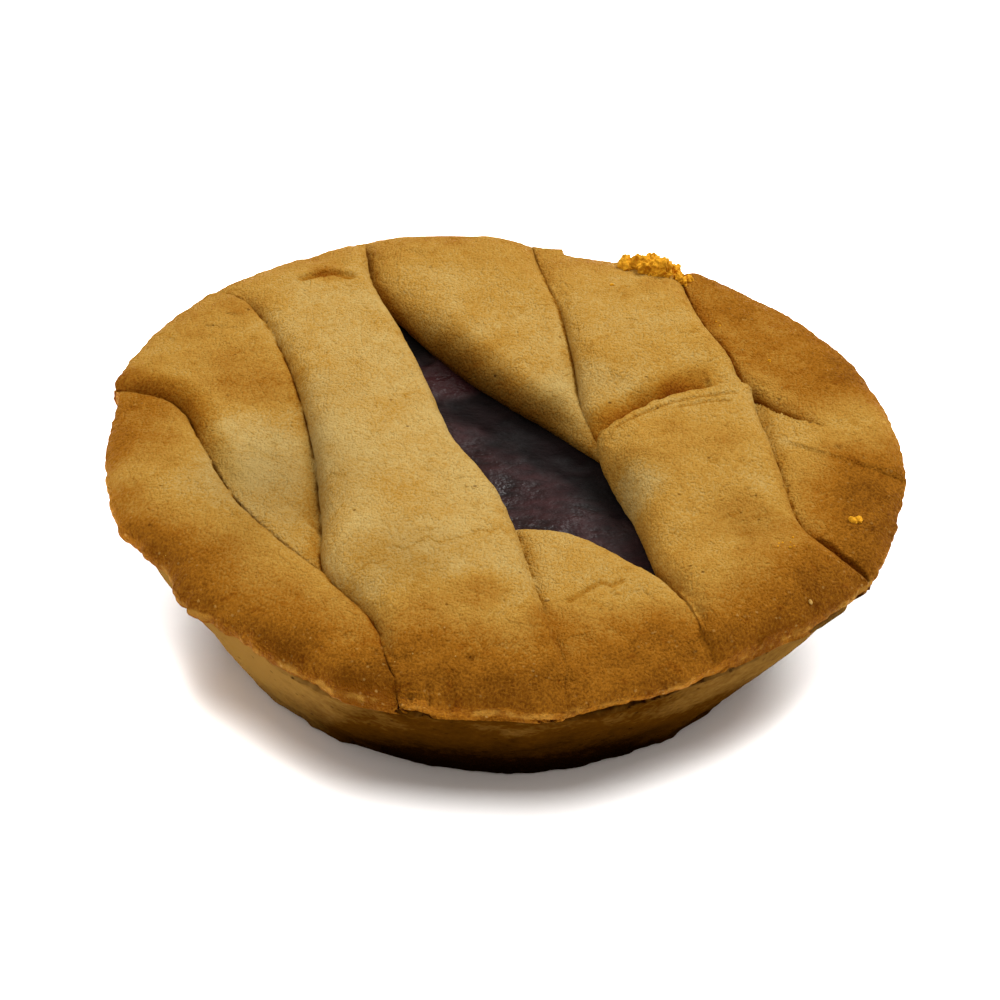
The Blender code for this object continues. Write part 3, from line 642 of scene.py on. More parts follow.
def make_band(name, sizes, bed):
    """A band of dough as a fine closed mesh, laid on the map of the dough before it."""
    band = BANDS[name]
    left = edge_path(band["left"])[1]
    right = edge_path(band["right"])[1]
    run = np.linalg.norm(np.diff((left + right) / 2, axis=0), axis=1).sum()
    span = np.linalg.norm(right - left, axis=1).max()
    cell = sizes.cell / MM
    long_steps = int(1.15 * run / cell)
    cross_steps = int(1.15 * span / cell)
    shape = (long_steps + 1, cross_steps + 1)
    u, v = np.meshgrid(np.linspace(0, 1, shape[0]), np.linspace(0, 1, shape[1]), indexing="ij")
    plan, top, rise = band_surface(band, u.ravel(), v.ravel(), bed)
    top = top.reshape(shape)
    settle_edges(top, cross_steps // 4)
    valley = shoulder(band_lines(name, plan), SEAM_DEPTH, SEAM_REACH) * seam_strength(plan)
    if name == "band_over_right_back":
        near_fold = np.clip(1 - from_line(plan, FOLD, 9.0) / FOLD_REACH, 0, 1)
        valley += FOLD_DEPTH * near_fold**2 * fold_strength(plan)
    top = top - valley.reshape(shape)
    lay_on(bed, plan, top.ravel())
    plan = plan.reshape(*shape, 2)
    rise = rise.reshape(shape)

    obj = as_mesh(name + "_dough", grid_shell(long_steps, cross_steps))
    mesh = obj.data
    place = points_of(mesh) * MM
    i = np.round(place[:, 0]).astype(int)
    j = np.round(place[:, 1]).astype(int)
    row = np.round(-place[:, 2]).astype(int)
    inner = plan[np.clip(i, INNER_CELLS, long_steps - INNER_CELLS),
                 np.clip(j, INNER_CELLS, cross_steps - INNER_CELLS)]
    points = np.column_stack([plan[i, j], top[i, j]])
    inward = inner - points[:, :2]
    inward /= np.maximum(np.linalg.norm(inward, axis=1), 1e-6)[:, None]
    down = row / SKIRT_ROWS
    bottom = DOUGH_BOTTOM + LAYER_STEP * LAYERS.index(name)
    points[:, 2] += (bottom - points[:, 2]) * np.sin(down * np.pi / 2)
    points[:, :2] += inward * (TUCK * (1 - np.cos(down * np.pi / 2)))[:, None]
    rise = rise[i, j]
    ragged(points, rim_radius(np.arctan2(points[:, 1], points[:, 0])))

    bm = bmesh.new()
    move_points(mesh, points)
    bm.from_mesh(mesh)
    bmesh.ops.recalc_face_normals(bm, faces=bm.faces[:])
    bm.to_mesh(mesh)
    bm.free()

    if name == "band_over_right_front":
        near = smooth_step(0.035, 0.0, i / long_steps)[:, None]
        points[:, :2] += near * 0.35 * np.column_stack([lumps(points, 1.6, 15), lumps(points, 1.6, 16)])
        points[:, 2] += near[:, 0] * 0.18 * lumps(points, 1.0, 17) * (row == 0)

    free = 1 - smooth_step(0.6, 1.0, down)
    flat = on_plan(points[:, :2])
    grain = sizes.grain / MM
    raised = sizes.swell / MM * layered(points, DOUGH_SWELL) + grain * layered(points, DOUGH_GRAIN)
    raised += smooth_step(-22, -38, points[:, 1]) * layered(points, DOUGH_KNOBS)
    pitted = smooth_step(0.45, 0.85, lumps(points, 1.1, 26))
    raised -= 1.6 * grain * pitted
    points = points + normals_of(mesh) * (raised * free)[:, None]

    wander = points[:, :2] + WANDER * np.column_stack([lumps(flat, 0.8, 31), lumps(flat, 0.8, 32)])
    carved = spots(wander, DENTS)
    crease = np.zeros(len(points))
    for cracked, line, width, depth in CRACKS:
        if name == cracked:
            cut = np.clip(1 - (from_line(wander, line) / width) ** 2, 0, 1)
            carved -= depth * cut
            crease = np.maximum(crease, cut)
    seam = band_lines(name, wander)
    dotted = smooth_step(-0.5, 0.4, lumps(flat, 1.6, 33)) * seam_strength(plan_of(points))
    carved -= SEAM_CUT * dotted * np.clip(1 - (seam / SEAM_CUT_WIDTH) ** 2, 0, 1)
    # Painted shade: the dough's colour is darkened in its cracks and along the open seams
    crease = np.maximum(CRACK_SHADE * crease, smooth_step(0.40, 0.05, seam) * SEAM_SHADE * dotted)
    points[:, 2] += carved * (row == 0)
    move_points(mesh, points)

    paint(mesh, "bake", browning(name, points, rise))
    # Painted shade in the dough's pits as well
    crease += pitted * PIT_SHADE * (row == 0)
    plan = plan_of(points)
    dusk = spots(plan, DUSK_SHADE_SPOTS)
    # Painted shade on the flank of this band that rolls down to the open jam, dulled and darkened
    if name == "band_under_right":
        flank = from_line(plan, edge_path(band["left"])[1][60:330:8], 8.0) + 0.5 * lumps(points, 3.0, 46)
        strength = smooth_step(34, 19, plan[:, 1]) * (1 - 0.5 * smooth_step(4, 13, plan[:, 0]))
        dusk += 0.88 * smooth_step(5.5, 0.3, flank) * strength
        crease += 0.30 * smooth_step(6.0, 1.0, flank) * strength
    # Painted shade on the upper left flank of this band, where it rolls down beside the left rim band
    if name == "band_under_left":
        flank = from_line(plan, edge_path(band["left"])[1][:200:8], 8.0) + 0.5 * lumps(points, 3.0, 46)
        strength = smooth_step(-16, -1, plan[:, 1]) * (1 - 0.35 * smooth_step(-42, -46, plan[:, 0]))
        crease += 0.46 * smooth_step(4.0, 0.6, flank) * strength
    # Painted shade in the dip of this band before the fold of the front band over it
    if name == "band_over_right_back":
        fold = from_line(plan, FOLD, 9.0) + 0.6 * lumps(points, 2.5, 45)
        middle = smooth_step(14, 18, plan[:, 0]) * smooth_step(24.5, 20, plan[:, 0])
        strength = fold_strength(plan) * (0.44 + 0.42 * middle)
        crease += strength * smooth_step(6.5, 1.5, fold)
    paint(mesh, "dusk", np.clip(dusk, 0, 1))
    paint(mesh, "crease", np.clip(crease, 0, 1))
    radius = np.hypot(points[:, 0], points[:, 1])
    reach = rim_radius(np.arctan2(points[:, 1], points[:, 0]))
    torn = smooth_step(reach - 0.9, reach - 0.3, radius) * smooth_step(22.7, 22.1, points[:, 2])
    torn *= smooth_step(21.3, 21.7, points[:, 2]) * TORN_SHADE
    torn *= smooth_step(-0.4, 0.7, lumps(points, 3.0, 43) + 0.7 * lumps(points, 0.8, 44))
    paint(mesh, "torn", torn)
    return obj


def blurred(bed, size):
    """The map of the dough, smoothed over a size in millimetres."""
    cells = np.fft.fftfreq(len(bed), d=MAP_CELL)
    fade = np.exp(-2 * (np.pi * size * cells) ** 2)
    return np.fft.ifft2(np.fft.fft2(bed) * fade[:, None] * fade[None, :]).real


# The width and depth of the hollows that get painted shade, and how soft that shade is, in millimetres
HOLLOW_SIZE = 2.2
HOLLOW_DEPTH = 0.9
HOLLOW_SOFTNESS = 0.35


def paint_hollows(mesh, bed):
    """Paints how far each point of a band lies in a hollow of the whole lattice, which the finish darkens
    as painted shade.
    """
    plan = plan_of(points_of(mesh))
    deep = blurred(bed, HOLLOW_SIZE) - bed
    paint(mesh, "hollow", np.clip(blurred(deep, HOLLOW_SOFTNESS)[cell_of(plan)] / HOLLOW_DEPTH, -1, 1))


def cavity_radius(z):
    """Radius of the hollow in the case at a height."""
    share = (z - FLOOR_THICKNESS) / (CASE_TOP - FLOOR_THICKNESS)
    return CAVITY_BASE_RADIUS + (CAVITY_TOP_RADIUS - CAVITY_BASE_RADIUS) * share


def turned(outline, steps):
    """A solid of revolution: the outline runs in (radius, height) from axis to axis."""
    bm = bmesh.new()
    verts = [bm.verts.new((r, 0.0, z)) for r, z in outline]
    edges = [bm.edges.new(pair) for pair in zip(verts, verts[1:])]
    bmesh.ops.spin(bm, geom=verts + edges, cent=(0, 0, 0), axis=(0, 0, 1), angle=2 * np.pi,
                   steps=steps, use_merge=True)
    bmesh.ops.remove_doubles(bm, verts=bm.verts[:], dist=0.001)
    bmesh.ops.recalc_face_normals(bm, faces=bm.faces[:])
    bmesh.ops.scale(bm, vec=(MM, MM, MM), verts=bm.verts[:])
    return bm


# A chip broken out of the wall below the rim, at the left of the front
CHIP_PLACE = (-11.4, -47.6, 19.2)
CHIP_REACH = 1.9
CHIP_DEPTH = 1.0


def make_case(sizes):
    """The case: a flat floor, a tapered wall that is a little uneven, and the hollow for the jam."""
    rise = np.linspace(0, 1, sizes.case_rows)[1:-1]
    wall = [(BASE_RADIUS + (CASE_OUTER_RADIUS - BASE_RADIUS) * f + WALL_BULGE * np.sin(np.pi * f),
             BASE_CORNER + (CASE_TOP - BASE_CORNER) * f) for f in rise]
    corner = [(BASE_RADIUS - BASE_CORNER * (1 - np.sin(a)), BASE_CORNER * (1 - np.cos(a)))
              for a in np.linspace(0, np.pi / 2, 8)]
    outline = [(0.0, 0.0), (BASE_RADIUS / 2, 0.0)] + corner + wall + [
        (CASE_OUTER_RADIUS, CASE_TOP - CASE_EDGE), (CASE_OUTER_RADIUS - CASE_EDGE, CASE_TOP),
        (CAVITY_TOP_RADIUS, CASE_TOP), (CAVITY_BASE_RADIUS, FLOOR_THICKNESS), (0.0, FLOOR_THICKNESS)]
    obj = as_mesh("baked_case", turned(outline, sizes.case_steps))
    mesh = obj.data
    points = points_of(mesh)
    radius = np.hypot(points[:, 0], points[:, 1])
    outer = radius > cavity_radius(np.maximum(points[:, 2], FLOOR_THICKNESS)) + 0.3
    share = np.clip(points[:, 2] / CASE_TOP, 0, 1)
    angle = np.arctan2(points[:, 1], points[:, 0])
    wanted = rim_radius(angle) / RIM_RADIUS
    edge = 0.65 * share**5 - 1.3 * worn_edge(angle) * share**2
    factor = np.where(outer, 1 + (wanted - 1) * share + edge / RIM_RADIUS, 1)
    points[:, :2] *= factor[:, None]
    move_points(mesh, points)
    wall_only = smooth_step(0.05, 0.6, points[:, 2]) * outer
    raised = layered(points, WALL_LUMPS) - 0.25 * smooth_step(0.45, 0.8, lumps(points, 1.6, 55))
    raised += smooth_step(5.0, 1.0, points[:, 2]) * layered(points, WALL_FOOT_LUMPS)
    chip = np.linalg.norm(points - np.array(CHIP_PLACE), axis=1)
    raised -= CHIP_DEPTH * np.clip(1 - (chip / CHIP_REACH) ** 2, 0, 1) ** 2
    points += normals_of(mesh) * (raised * wall_only)[:, None]
    points[:, 2] = np.clip(points[:, 2], 0, CASE_TOP)
    move_points(mesh, points)
    # Painted light: the wall is marked to be lighter towards its front left and, less, its front right
    sides = smooth_step(-8, -30, points[:, 0]) + 0.6 * smooth_step(10, 36, points[:, 0])
    paint(mesh, "pale", np.clip(sides, 0, 1) * smooth_step(8, -20, points[:, 1]))
    return obj


def make_jam(sizes):
    """The jam: it fills the hollow, and its skin is wavy and finely wrinkled."""
    low = FLOOR_THICKNESS + 0.3
    reach = cavity_radius(JAM_LEVEL) - 0.2
    outline = [(0.0, low), (cavity_radius(low) - 0.4, low), (reach, JAM_LEVEL)]
    outline += [(r, JAM_LEVEL) for r in np.linspace(reach, 0.0, sizes.jam_rows)[1:]]
    obj = as_mesh("jam_filling", turned(outline, sizes.jam_steps))
    mesh = obj.data
    points = points_of(mesh)
    skin = points[:, 2] > JAM_LEVEL - 0.1
    turn = 2 * np.pi / JAM_WAVE
    swell = JAM_SWELL * np.sin(points[:, 0] * turn + 1.0) * np.cos(points[:, 1] * turn)
    flat = on_plan(points[:, :2])
    drawn = flat * (0.55, 1.0, 1.0)
    swell += 0.25 * lumps(flat, 5.0, 61) + layered(drawn, JAM_WRINKLES)
    swell -= 0.35 * smooth_step(0.5, 0.9, lumps(flat, 2.4, 64))
    inside = smooth_step(reach, reach - 2, np.hypot(points[:, 0], points[:, 1]))
    points[:, 2] += swell * skin * inside
    move_points(mesh, points)
    beside = from_line(plan_of(points), edge_path(BANDS["band_under_right"]["left"])[1][::8], 12.0)
    # The glossy patch: a painted highlight that lightens the jam, together with a real drop in roughness
    patch = spots(plan_of(points), ((-7.5, 20.0, 6.5, 1.0),))
    patch = np.clip(2.0 * patch + 1.6 * np.minimum(patch * 2, 1) * lumps(drawn, 1.6, 66), 0, 1)
    # Painted shadow: the jam is darkened beside the edges of the two bands that stand over it, except in
    # its glossy patch
    shade = smooth_step(9.5, 4.0, beside + 1.6 * lumps(flat, 2.5, 65)) * skin
    beside = from_line(plan_of(points), edge_path(BANDS["band_over_right_front"]["left"])[1][::8], 8.0)
    shade = np.maximum(shade, 0.5 * smooth_step(4.0, 1.2, beside + 1.2 * lumps(flat, 2.0, 67)) * skin)
    paint(mesh, "crease", shade * (1 - patch))
    paint(mesh, "shine", patch * skin)
    return obj


# Heaps and strays of loose crumbs: x, y, spread, count, least and greatest size, in millimetres
CRUMBS = (
    (18.6, 42.2, 1.8, 5, 1.1, 1.6), (20.8, 41, 1.6, 4, 1, 1.5), (16, 42.8, 1.4, 4, 0.7, 1.1),
    (23.2, 39.8, 1, 3, 0.7, 1.1), (19.5, 41.5, 4.5, 16, 0.2, 0.45), (43.5, -13.7, 0.7, 3, 0.35, 0.7),
    (34.5, -21.8, 2.4, 7, 0.12, 0.2), (27.4, 28.8, 1, 2, 0.12, 0.25), (34.3, 19.5, 0.8, 2, 0.12, 0.25),
)
SUGAR = (
    (5.8, -31.9, 0.3, 1, 0.2, 0.28), (37.5, -30.1, 0.4, 1, 0.2, 0.28), (-26, -27, 16, 12, 0.06, 0.11),
    (-5, -40, 12, 8, 0.06, 0.11), (35, 20, 14, 8, 0.06, 0.11),
)
FINE_CRUMB = 0.5


def make_crumbs(name, heaps, seed, ground):
    """Loose crumbs as small rough clods that rest on the dough."""
    rng = np.random.default_rng(seed)
    bm = bmesh.new()
    for x, y, spread, count, least, greatest in heaps:
        for _ in range(count):
            size = rng.uniform(least, greatest)
            px, py = rng.normal((x, y), spread / 2)
            squash = rng.uniform(0.7, 1.25, 3)
            turn = Matrix.Rotation(rng.uniform(0, 6.28), 4, Vector(rng.normal(size=3)).normalized())
            found = ground.ray_cast(Vector((px * MM, py * MM, 0.05)), Vector((0, 0, -1)))[0]
            if found is None or found.z < (CASE_TOP + 0.5) * MM:
                continue
            place = Matrix.Translation(found / MM + Vector((0, 0, 0.15 * size)))
            rough = 2 if size < FINE_CRUMB else 5
            made = bmesh.ops.create_icosphere(bm, subdivisions=rough, radius=size)["verts"]
            balls = np.array([vert.co for vert in made])
            offset = rng.uniform(-20, 20, 3)
            for vert, grow in zip(made, 1 + layered(balls + offset, CRUMB_CLODS)):
                vert.co *= grow
            bmesh.ops.transform(bm, matrix=place @ turn @ Matrix.Diagonal((*squash, 1)), verts=made)
    bmesh.ops.scale(bm, vec=(MM, MM, MM), verts=bm.verts[:])
    bmesh.ops.recalc_face_normals(bm, faces=bm.faces[:])
    return as_mesh(name, bm)


class Socket:
    """A shader socket that Python's operators work on, each adding a Math node."""

    def __init__(self, finish, socket):
        self.finish = finish
        self.socket = socket

    def math(self, operation, *values):
        """A Math node of this operation on the given values."""
        return self.finish.node("ShaderNodeMath", {"operation": operation}, dict(enumerate(values)))

    def __add__(self, other):
        return self.math("ADD", self, other)

    def __sub__(self, other):
        return self.math("SUBTRACT", self, other)

    def __rsub__(self, other):
        return self.math("SUBTRACT", other, self)

    def __mul__(self, other):
        return self.math("MULTIPLY", self, other)

    __radd__ = __add__
    __rmul__ = __mul__

    def between(self, low, high):
        """Rises smoothly from 0 to 1 between two values."""
        return self.finish.node("ShaderNodeMapRange", {"interpolation_type": "SMOOTHSTEP"},
                                {"Value": self, "From Min": low, "From Max": high})


class Finish:
    """A material in the making, with the one method that adds its nodes."""

    def __init__(self, name):
        self.material = bpy.data.materials.new(name)
        self.material.use_nodes = True
        self.tree = self.material.node_tree
        self.shader = self.tree.nodes["Principled BSDF"]
        self.place = self.node("ShaderNodeTexCoord", output="Object")

    def node(self, kind, settings=(), sockets=(), output=0):
        """Adds a node of a type, sets it up, and fills or links its sockets."""
        made = self.tree.nodes.new(kind)
        for name, value in dict(settings).items():
            if name == "stops":
                self.set_stops(made.color_ramp, value)
            else:
                setattr(made, name, value)
        for name, value in dict(sockets).items():
            self.feed(made.inputs[name], value)
        return Socket(self, made.outputs[output])

    def feed(self, socket, value):
        """Gives a socket a link or a value."""
        if isinstance(value, Socket):
            self.tree.links.new(value.socket, socket)
        else:
            socket.default_value = value

    def set_stops(self, ramp, stops):
        """Sets a colour ramp's stops, each with its place and colour."""
        while len(ramp.elements) > 1:
            ramp.elements.remove(ramp.elements[-1])
        ramp.elements[0].position = stops[0][0]
        ramp.elements[0].color = (*stops[0][1], 1)
        for position, colour in stops[1:]:
            ramp.elements.new(position).color = (*colour, 1)

    def noise(self, size, detail=2.0, place=None):
        """A noise from 0 to 1 with lumps of a size in metres."""
        return self.node("ShaderNodeTexNoise", {"noise_dimensions": "3D"},
                         {"Vector": place or self.place, "Scale": 1 / size, "Detail": detail})

    def cells(self, size):
        """Distance from the nearest of scattered points, spaced about a size in metres."""
        return self.node("ShaderNodeTexVoronoi", {"feature": "F1"},
                         {"Vector": self.place, "Scale": 1 / size})

    def painted(self, name):
        """A value painted on the mesh."""
        return self.node("ShaderNodeAttribute", {"attribute_name": name}, output="Fac")

    def ramp(self, value, stops):
        """A colour for each value."""
        return self.node("ShaderNodeValToRGB", {"stops": stops}, {"Fac": value})

    def mix(self, factor, first, second, blend="MIX"):
        """Two colours mixed by a factor."""
        return self.node("ShaderNodeMix", {"data_type": "RGBA", "blend_type": blend},
                         {0: factor, 6: first, 7: second}, output=2)

    def stretched(self, scale):
        """The place on the object, with each axis scaled."""
        return self.node("ShaderNodeMapping", {}, {"Vector": self.place, "Scale": scale})

    def bump(self, height, distance):
        """A bump of a height in metres."""
        return self.node("ShaderNodeBump", {}, {"Height": height, "Distance": distance, "Strength": 1.0})

    def set(self, **values):
        """Sets or links the shader's own sockets."""
        for name, value in values.items():
            self.feed(self.shader.inputs[name.replace("_", " ")], value)
        return self.material


def rgba(colour):
    """A colour with its alpha."""
    return (*colour, 1.0)


def dough_finish(name, colours):
    """Baked shortcrust: a tone from the painted browning, mottled and grainy, with specks and with painted
    shade in its creases and hollows.
    """
    finish = Finish(name)
    even = finish.stretched((1.0, 0.72, 1.0))
    mottle = finish.noise(0.0050, 4.0)
    sand = finish.noise(0.0008, 2.0, even)
    dust = finish.noise(0.00028, 2.0, even)
    tone = finish.painted("bake") + (mottle - 0.5) * 0.38 + (sand - 0.5) * 0.20 + (dust - 0.5) * 0.60
    stops = ((0.0, colours.pale), (0.32, colours.golden), (0.68, colours.brown), (1.0, colours.scorched))
    colour = finish.ramp(tone, stops)
    colour = finish.mix(finish.painted("torn") * 0.8, colour, rgba(colours.golden))
    light = finish.cells(0.0011).between(0.24, 0.08) * finish.noise(0.004).between(0.42, 0.66)
    colour = finish.mix(light * 0.30, colour, rgba(colours.sugar))
    dark = finish.cells(0.0023).between(0.12, 0.05) * finish.noise(0.003).between(0.48, 0.62)
    colour = finish.mix(dark * 0.65, colour, rgba(colours.scorched))
    # Painted shade: the colour is darkened and deepened in creases, seams, pits and hollows, and dulled
    # where soft shade is painted
    shade = finish.painted("crease") + finish.painted("hollow").between(0.25, 1.2) * 0.35
    colour = finish.node("ShaderNodeGamma", {}, {"Color": colour, "Gamma": 1.0 + shade * 1.15})
    colour = finish.mix(finish.painted("dusk"), colour, rgba(colours.dusk), "MULTIPLY")
    rough = 0.62 + sand * 0.3
    height = mottle * 0.30 + sand * 0.45 + dust * 0.80 - dark * 0.30
    return finish.set(Base_Color=colour, Roughness=rough, Specular_IOR_Level=0.02,
                      Normal=finish.bump(height, 0.0006))


def case_finish(name, colours):
    """The case's wall: baked crust with painted shade that darkens it towards its base and painted light
    that lightens its front sides, with a coarse open crumb.
    """
    finish = Finish(name)
    height_on_wall = finish.node("ShaderNodeSeparateXYZ", {}, {0: finish.place}, output="Z")
    # Painted shade: the wall darkens towards its base, less where its front sides get painted light
    low = height_on_wall.between(0.017, 0.001)
    mottle = finish.noise(0.0055, 4.0)
    sand = finish.noise(0.0008, 2.0)
    pale = finish.painted("pale")
    tone = low * 0.62 * (1.0 - pale * 0.95) + (mottle - 0.5) * 0.55 + (sand - 0.5) * 0.34 + 0.50
    # Painted light lightens the front sides of the wall
    tone = tone - pale * 0.54
    stops = ((0.0, colours.wall_light), (0.5, colours.wall), (1.0, colours.wall_dark))
    colour = finish.ramp(tone, stops)
    dark = finish.cells(0.0019).between(0.18, 0.06)
    colour = finish.mix(dark * 0.5, colour, rgba(colours.wall_dark))
    height = mottle * 0.7 + sand * 0.4 - dark * 0.3
    return finish.set(Base_Color=colour, Roughness=0.7 + sand * 0.3, Specular_IOR_Level=0.0,
                      Normal=finish.bump(height, 0.0004))


def crumb_finish(name, colour, deep):
    """Loose crumbs, darker between their grains."""
    finish = Finish(name)
    sand = finish.noise(0.0004, 2.0)
    tone = finish.ramp(sand, ((0.3, deep), (0.7, colour)))
    return finish.set(Base_Color=tone, Roughness=0.8, Specular_IOR_Level=0.05,
                      Normal=finish.bump(sand, 0.0003))


def jam_finish(name, colours):
    """Set cherry jam: nearly black purple, glossy where the skin is thin and duller on wrinkles, with
    painted shadow beside the bands and a painted highlight in one glossy patch.
    """
    finish = Finish(name)
    film = finish.noise(0.007, 3.0, finish.stretched((0.8, 1.0, 1.0)))
    wrinkle = finish.noise(0.0013, 4.0, finish.stretched((0.55, 1.0, 1.0)))
    specks = finish.noise(0.0005, 1.0)
    colour = finish.ramp(film * 0.6 + wrinkle * 0.4, ((0.38, colours.jam_dark), (0.62, colours.jam)))
    # Painted shadow beside the bands darkens the jam towards black
    shade = finish.painted("crease")
    colour = finish.mix(shade * 0.85, colour, (0.0, 0.0, 0.0, 1.0))
    # Painted highlight: the jam is lighter in its glossy patch
    shine = finish.painted("shine")
    colour = finish.mix(shine * 0.8, colour, rgba(colours.jam))
    rough = 0.36 + film.between(0.4, 0.6) * 0.30 + (specks - 0.5) * 0.2 + shade * 0.4 - shine * 0.15
    height = wrinkle * 0.6 + specks * 0.15 + film * 0.4
    return finish.set(Base_Color=colour, Roughness=rough, IOR=1.42, Specular_IOR_Level=0.20,
                      Normal=finish.bump(height, 0.0009))


def floor_finish(name, colour):
    """A plain pale floor with the faintest unevenness."""
    finish = Finish(name)
    tone = finish.ramp(finish.noise(0.2, 1.0), ((0.0, [c * 0.99 for c in colour]), (1.0, colour)))
    return finish.set(Base_Color=tone, Roughness=0.9, Specular_IOR_Level=0.1)


class CrostataSizes(bpy.types.PropertyGroup):
    """Sizes of the surface detail."""

    cell: FloatProperty(name="Cell", description="Side of the dough's mesh cells",
                        default=0.00026, unit="LENGTH")
    swell: FloatProperty(name="Swell", description="Height of the broad unevenness of the dough",
                         default=0.00013, unit="LENGTH")
    grain: FloatProperty(name="Grain", description="Height of the sandy grain of the dough",
                         default=0.00005, unit="LENGTH")
    case_rows: IntProperty(name="Case rows", description="Rows of faces up the case's wall", default=46)
    case_steps: IntProperty(name="Case steps", description="Faces round the wall of the case", default=640)
    jam_rows: IntProperty(name="Jam rows", description="Rings of faces on the jam", default=110)
    jam_steps: IntProperty(name="Jam steps", description="Faces round the jam", default=360)
    floor: FloatProperty(name="Floor", description="Half the side of the floor", default=4.0, unit="LENGTH")


def colour_property(name, description, default):
    """A colour that a user can change."""
    return FloatVectorProperty(name=name, description=description, default=default, size=3, subtype="COLOR",
                               min=0.0, max=1.0)


class CrostataColours(bpy.types.PropertyGroup):
    """Colours of the finishes."""

    pale: colour_property("Pale dough", "Dough that is hardly browned", (0.5, 0.345, 0.115))
    golden: colour_property("Golden dough", "Lightly baked dough", (0.42, 0.225, 0.038))
    brown: colour_property("Brown dough", "Well baked dough", (0.285, 0.107, 0.0075))
    scorched: colour_property("Scorched dough", "The darkest baked dough", (0.12, 0.038, 0.0012))
    dusk: colour_property("Dusk", "What multiplies the dough's colour in deep shade", (0.22, 0.19, 0.14))
    crumb: colour_property("Torn crumb", "Broken edges of the dough", (0.80, 0.38, 0.02))
    crumb_deep: colour_property("Crumb shade", "The dark of the crumbs", (0.50, 0.22, 0.008))
    sugar: colour_property("Sugar", "Light grains on the dough", (0.52, 0.33, 0.1))
    # The case's colours are a dark baked brown, made darker still as painted shade for the wall under the
    # rim; the lightest shows where painted light falls on its front sides
    wall_light: colour_property("Wall, light", "The lightest of the case's wall", (0.15, 0.078, 0.016))
    wall: colour_property("Wall", "The case's wall", (0.036, 0.0125, 0.0006))
    wall_dark: colour_property("Wall, dark", "The darkest of the case's wall", (0.0045, 0.0014, 0.0001))
    jam: colour_property("Jam", "Cherry jam where it is thin", (0.036, 0.0115, 0.0125))
    jam_dark: colour_property("Deep jam", "Cherry jam where it is deep", (0.0085, 0.0038, 0.0038))
    floor: colour_property("Floor", "The floor of the stage", (0.90, 0.90, 0.90))


def put_on(piece, node, finish):
    """Dresses a piece, and lets it ride in place of its CAD node."""
    piece.data.materials.append(finish)
    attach(piece, "root")
    if node:
        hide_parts(node)


class BakeCase(bpy.types.Operator):
    """Makes the pastry case."""

    bl_idname = "crostata.bake_case"
    bl_label = "Case"

    def execute(self, context):
        scene = context.scene
        case = make_case(scene.crostata_sizes)
        put_on(case, "pastry_case", case_finish("baked_case", scene.crostata_colours))
        return {"FINISHED"}


class PourJam(bpy.types.Operator):
    """Makes the cherry jam."""

    bl_idname = "crostata.pour_jam"
    bl_label = "Jam"

    def execute(self, context):
        scene = context.scene
        jam = make_jam(scene.crostata_sizes)
        put_on(jam, "cherry_jam", jam_finish("set_jam", scene.crostata_colours))
        return {"FINISHED"}


class LayLattice(bpy.types.Operator):
    """Makes the bands of dough, from the lowest to the topmost."""

    bl_idname = "crostata.lay_lattice"
    bl_label = "Lattice bands"

    def execute(self, context):
        scene = context.scene
        rim = dough_finish("rim_dough", scene.crostata_colours)
        band = dough_finish("band_dough", scene.crostata_colours)
        cells = int(2 * MAP_REACH / MAP_CELL) + 1
        bed = np.full((cells, cells), CASE_TOP)
        pieces = [make_band(name, scene.crostata_sizes, bed) for name in LAYERS]
        for name, piece in zip(LAYERS, pieces):
            paint_hollows(piece.data, bed)
            at_rim = name.startswith("rim")
            put_on(piece, name, rim if at_rim else band)
        return {"FINISHED"}


class ScatterCrumbs(bpy.types.Operator):
    """Scatters the loose crumbs and light grains over the dough."""

    bl_idname = "crostata.scatter_crumbs"
    bl_label = "Crumbs"

    def execute(self, context):
        colours = context.scene.crostata_colours
        verts, faces = [], []
        for name in LAYERS:
            mesh = bpy.data.objects[name + "_dough"].data
            start = len(verts)
            verts += [v.co.copy() for v in mesh.vertices]
            faces += [[start + i for i in p.vertices] for p in mesh.polygons if len(p.vertices) == 4]
        ground = BVHTree.FromPolygons(verts, faces)
        crumbs = make_crumbs("loose_crumbs", CRUMBS, 5, ground)
        put_on(crumbs, None, crumb_finish("loose_crumb", colours.crumb, colours.crumb_deep))
        sugar = make_crumbs("light_grains", SUGAR, 6, ground)
        put_on(sugar, None, crumb_finish("light_grain", colours.sugar, colours.golden))
        return {"FINISHED"}


def add_light(name, place, aim, size, power, colour, lit):
    """A soft square light at a place, turned to a point, that lights one collection."""
    light = bpy.data.lights.new(name, "AREA")
    light.size = size
    light.energy = power
    light.color = colour
    obj = bpy.data.objects.new(name, light)
    obj.location = place
    obj.rotation_euler = (Vector(aim) - Vector(place)).to_track_quat("-Z", "Y").to_euler()
    bpy.context.scene.collection.objects.link(obj)
    obj.light_linking.receiver_collection = lit


def collect(name, objects):
    """A collection of objects for a light to shine on."""
    group = bpy.data.collections.new(name)
    for obj in objects:
        group.objects.link(obj)
    return group


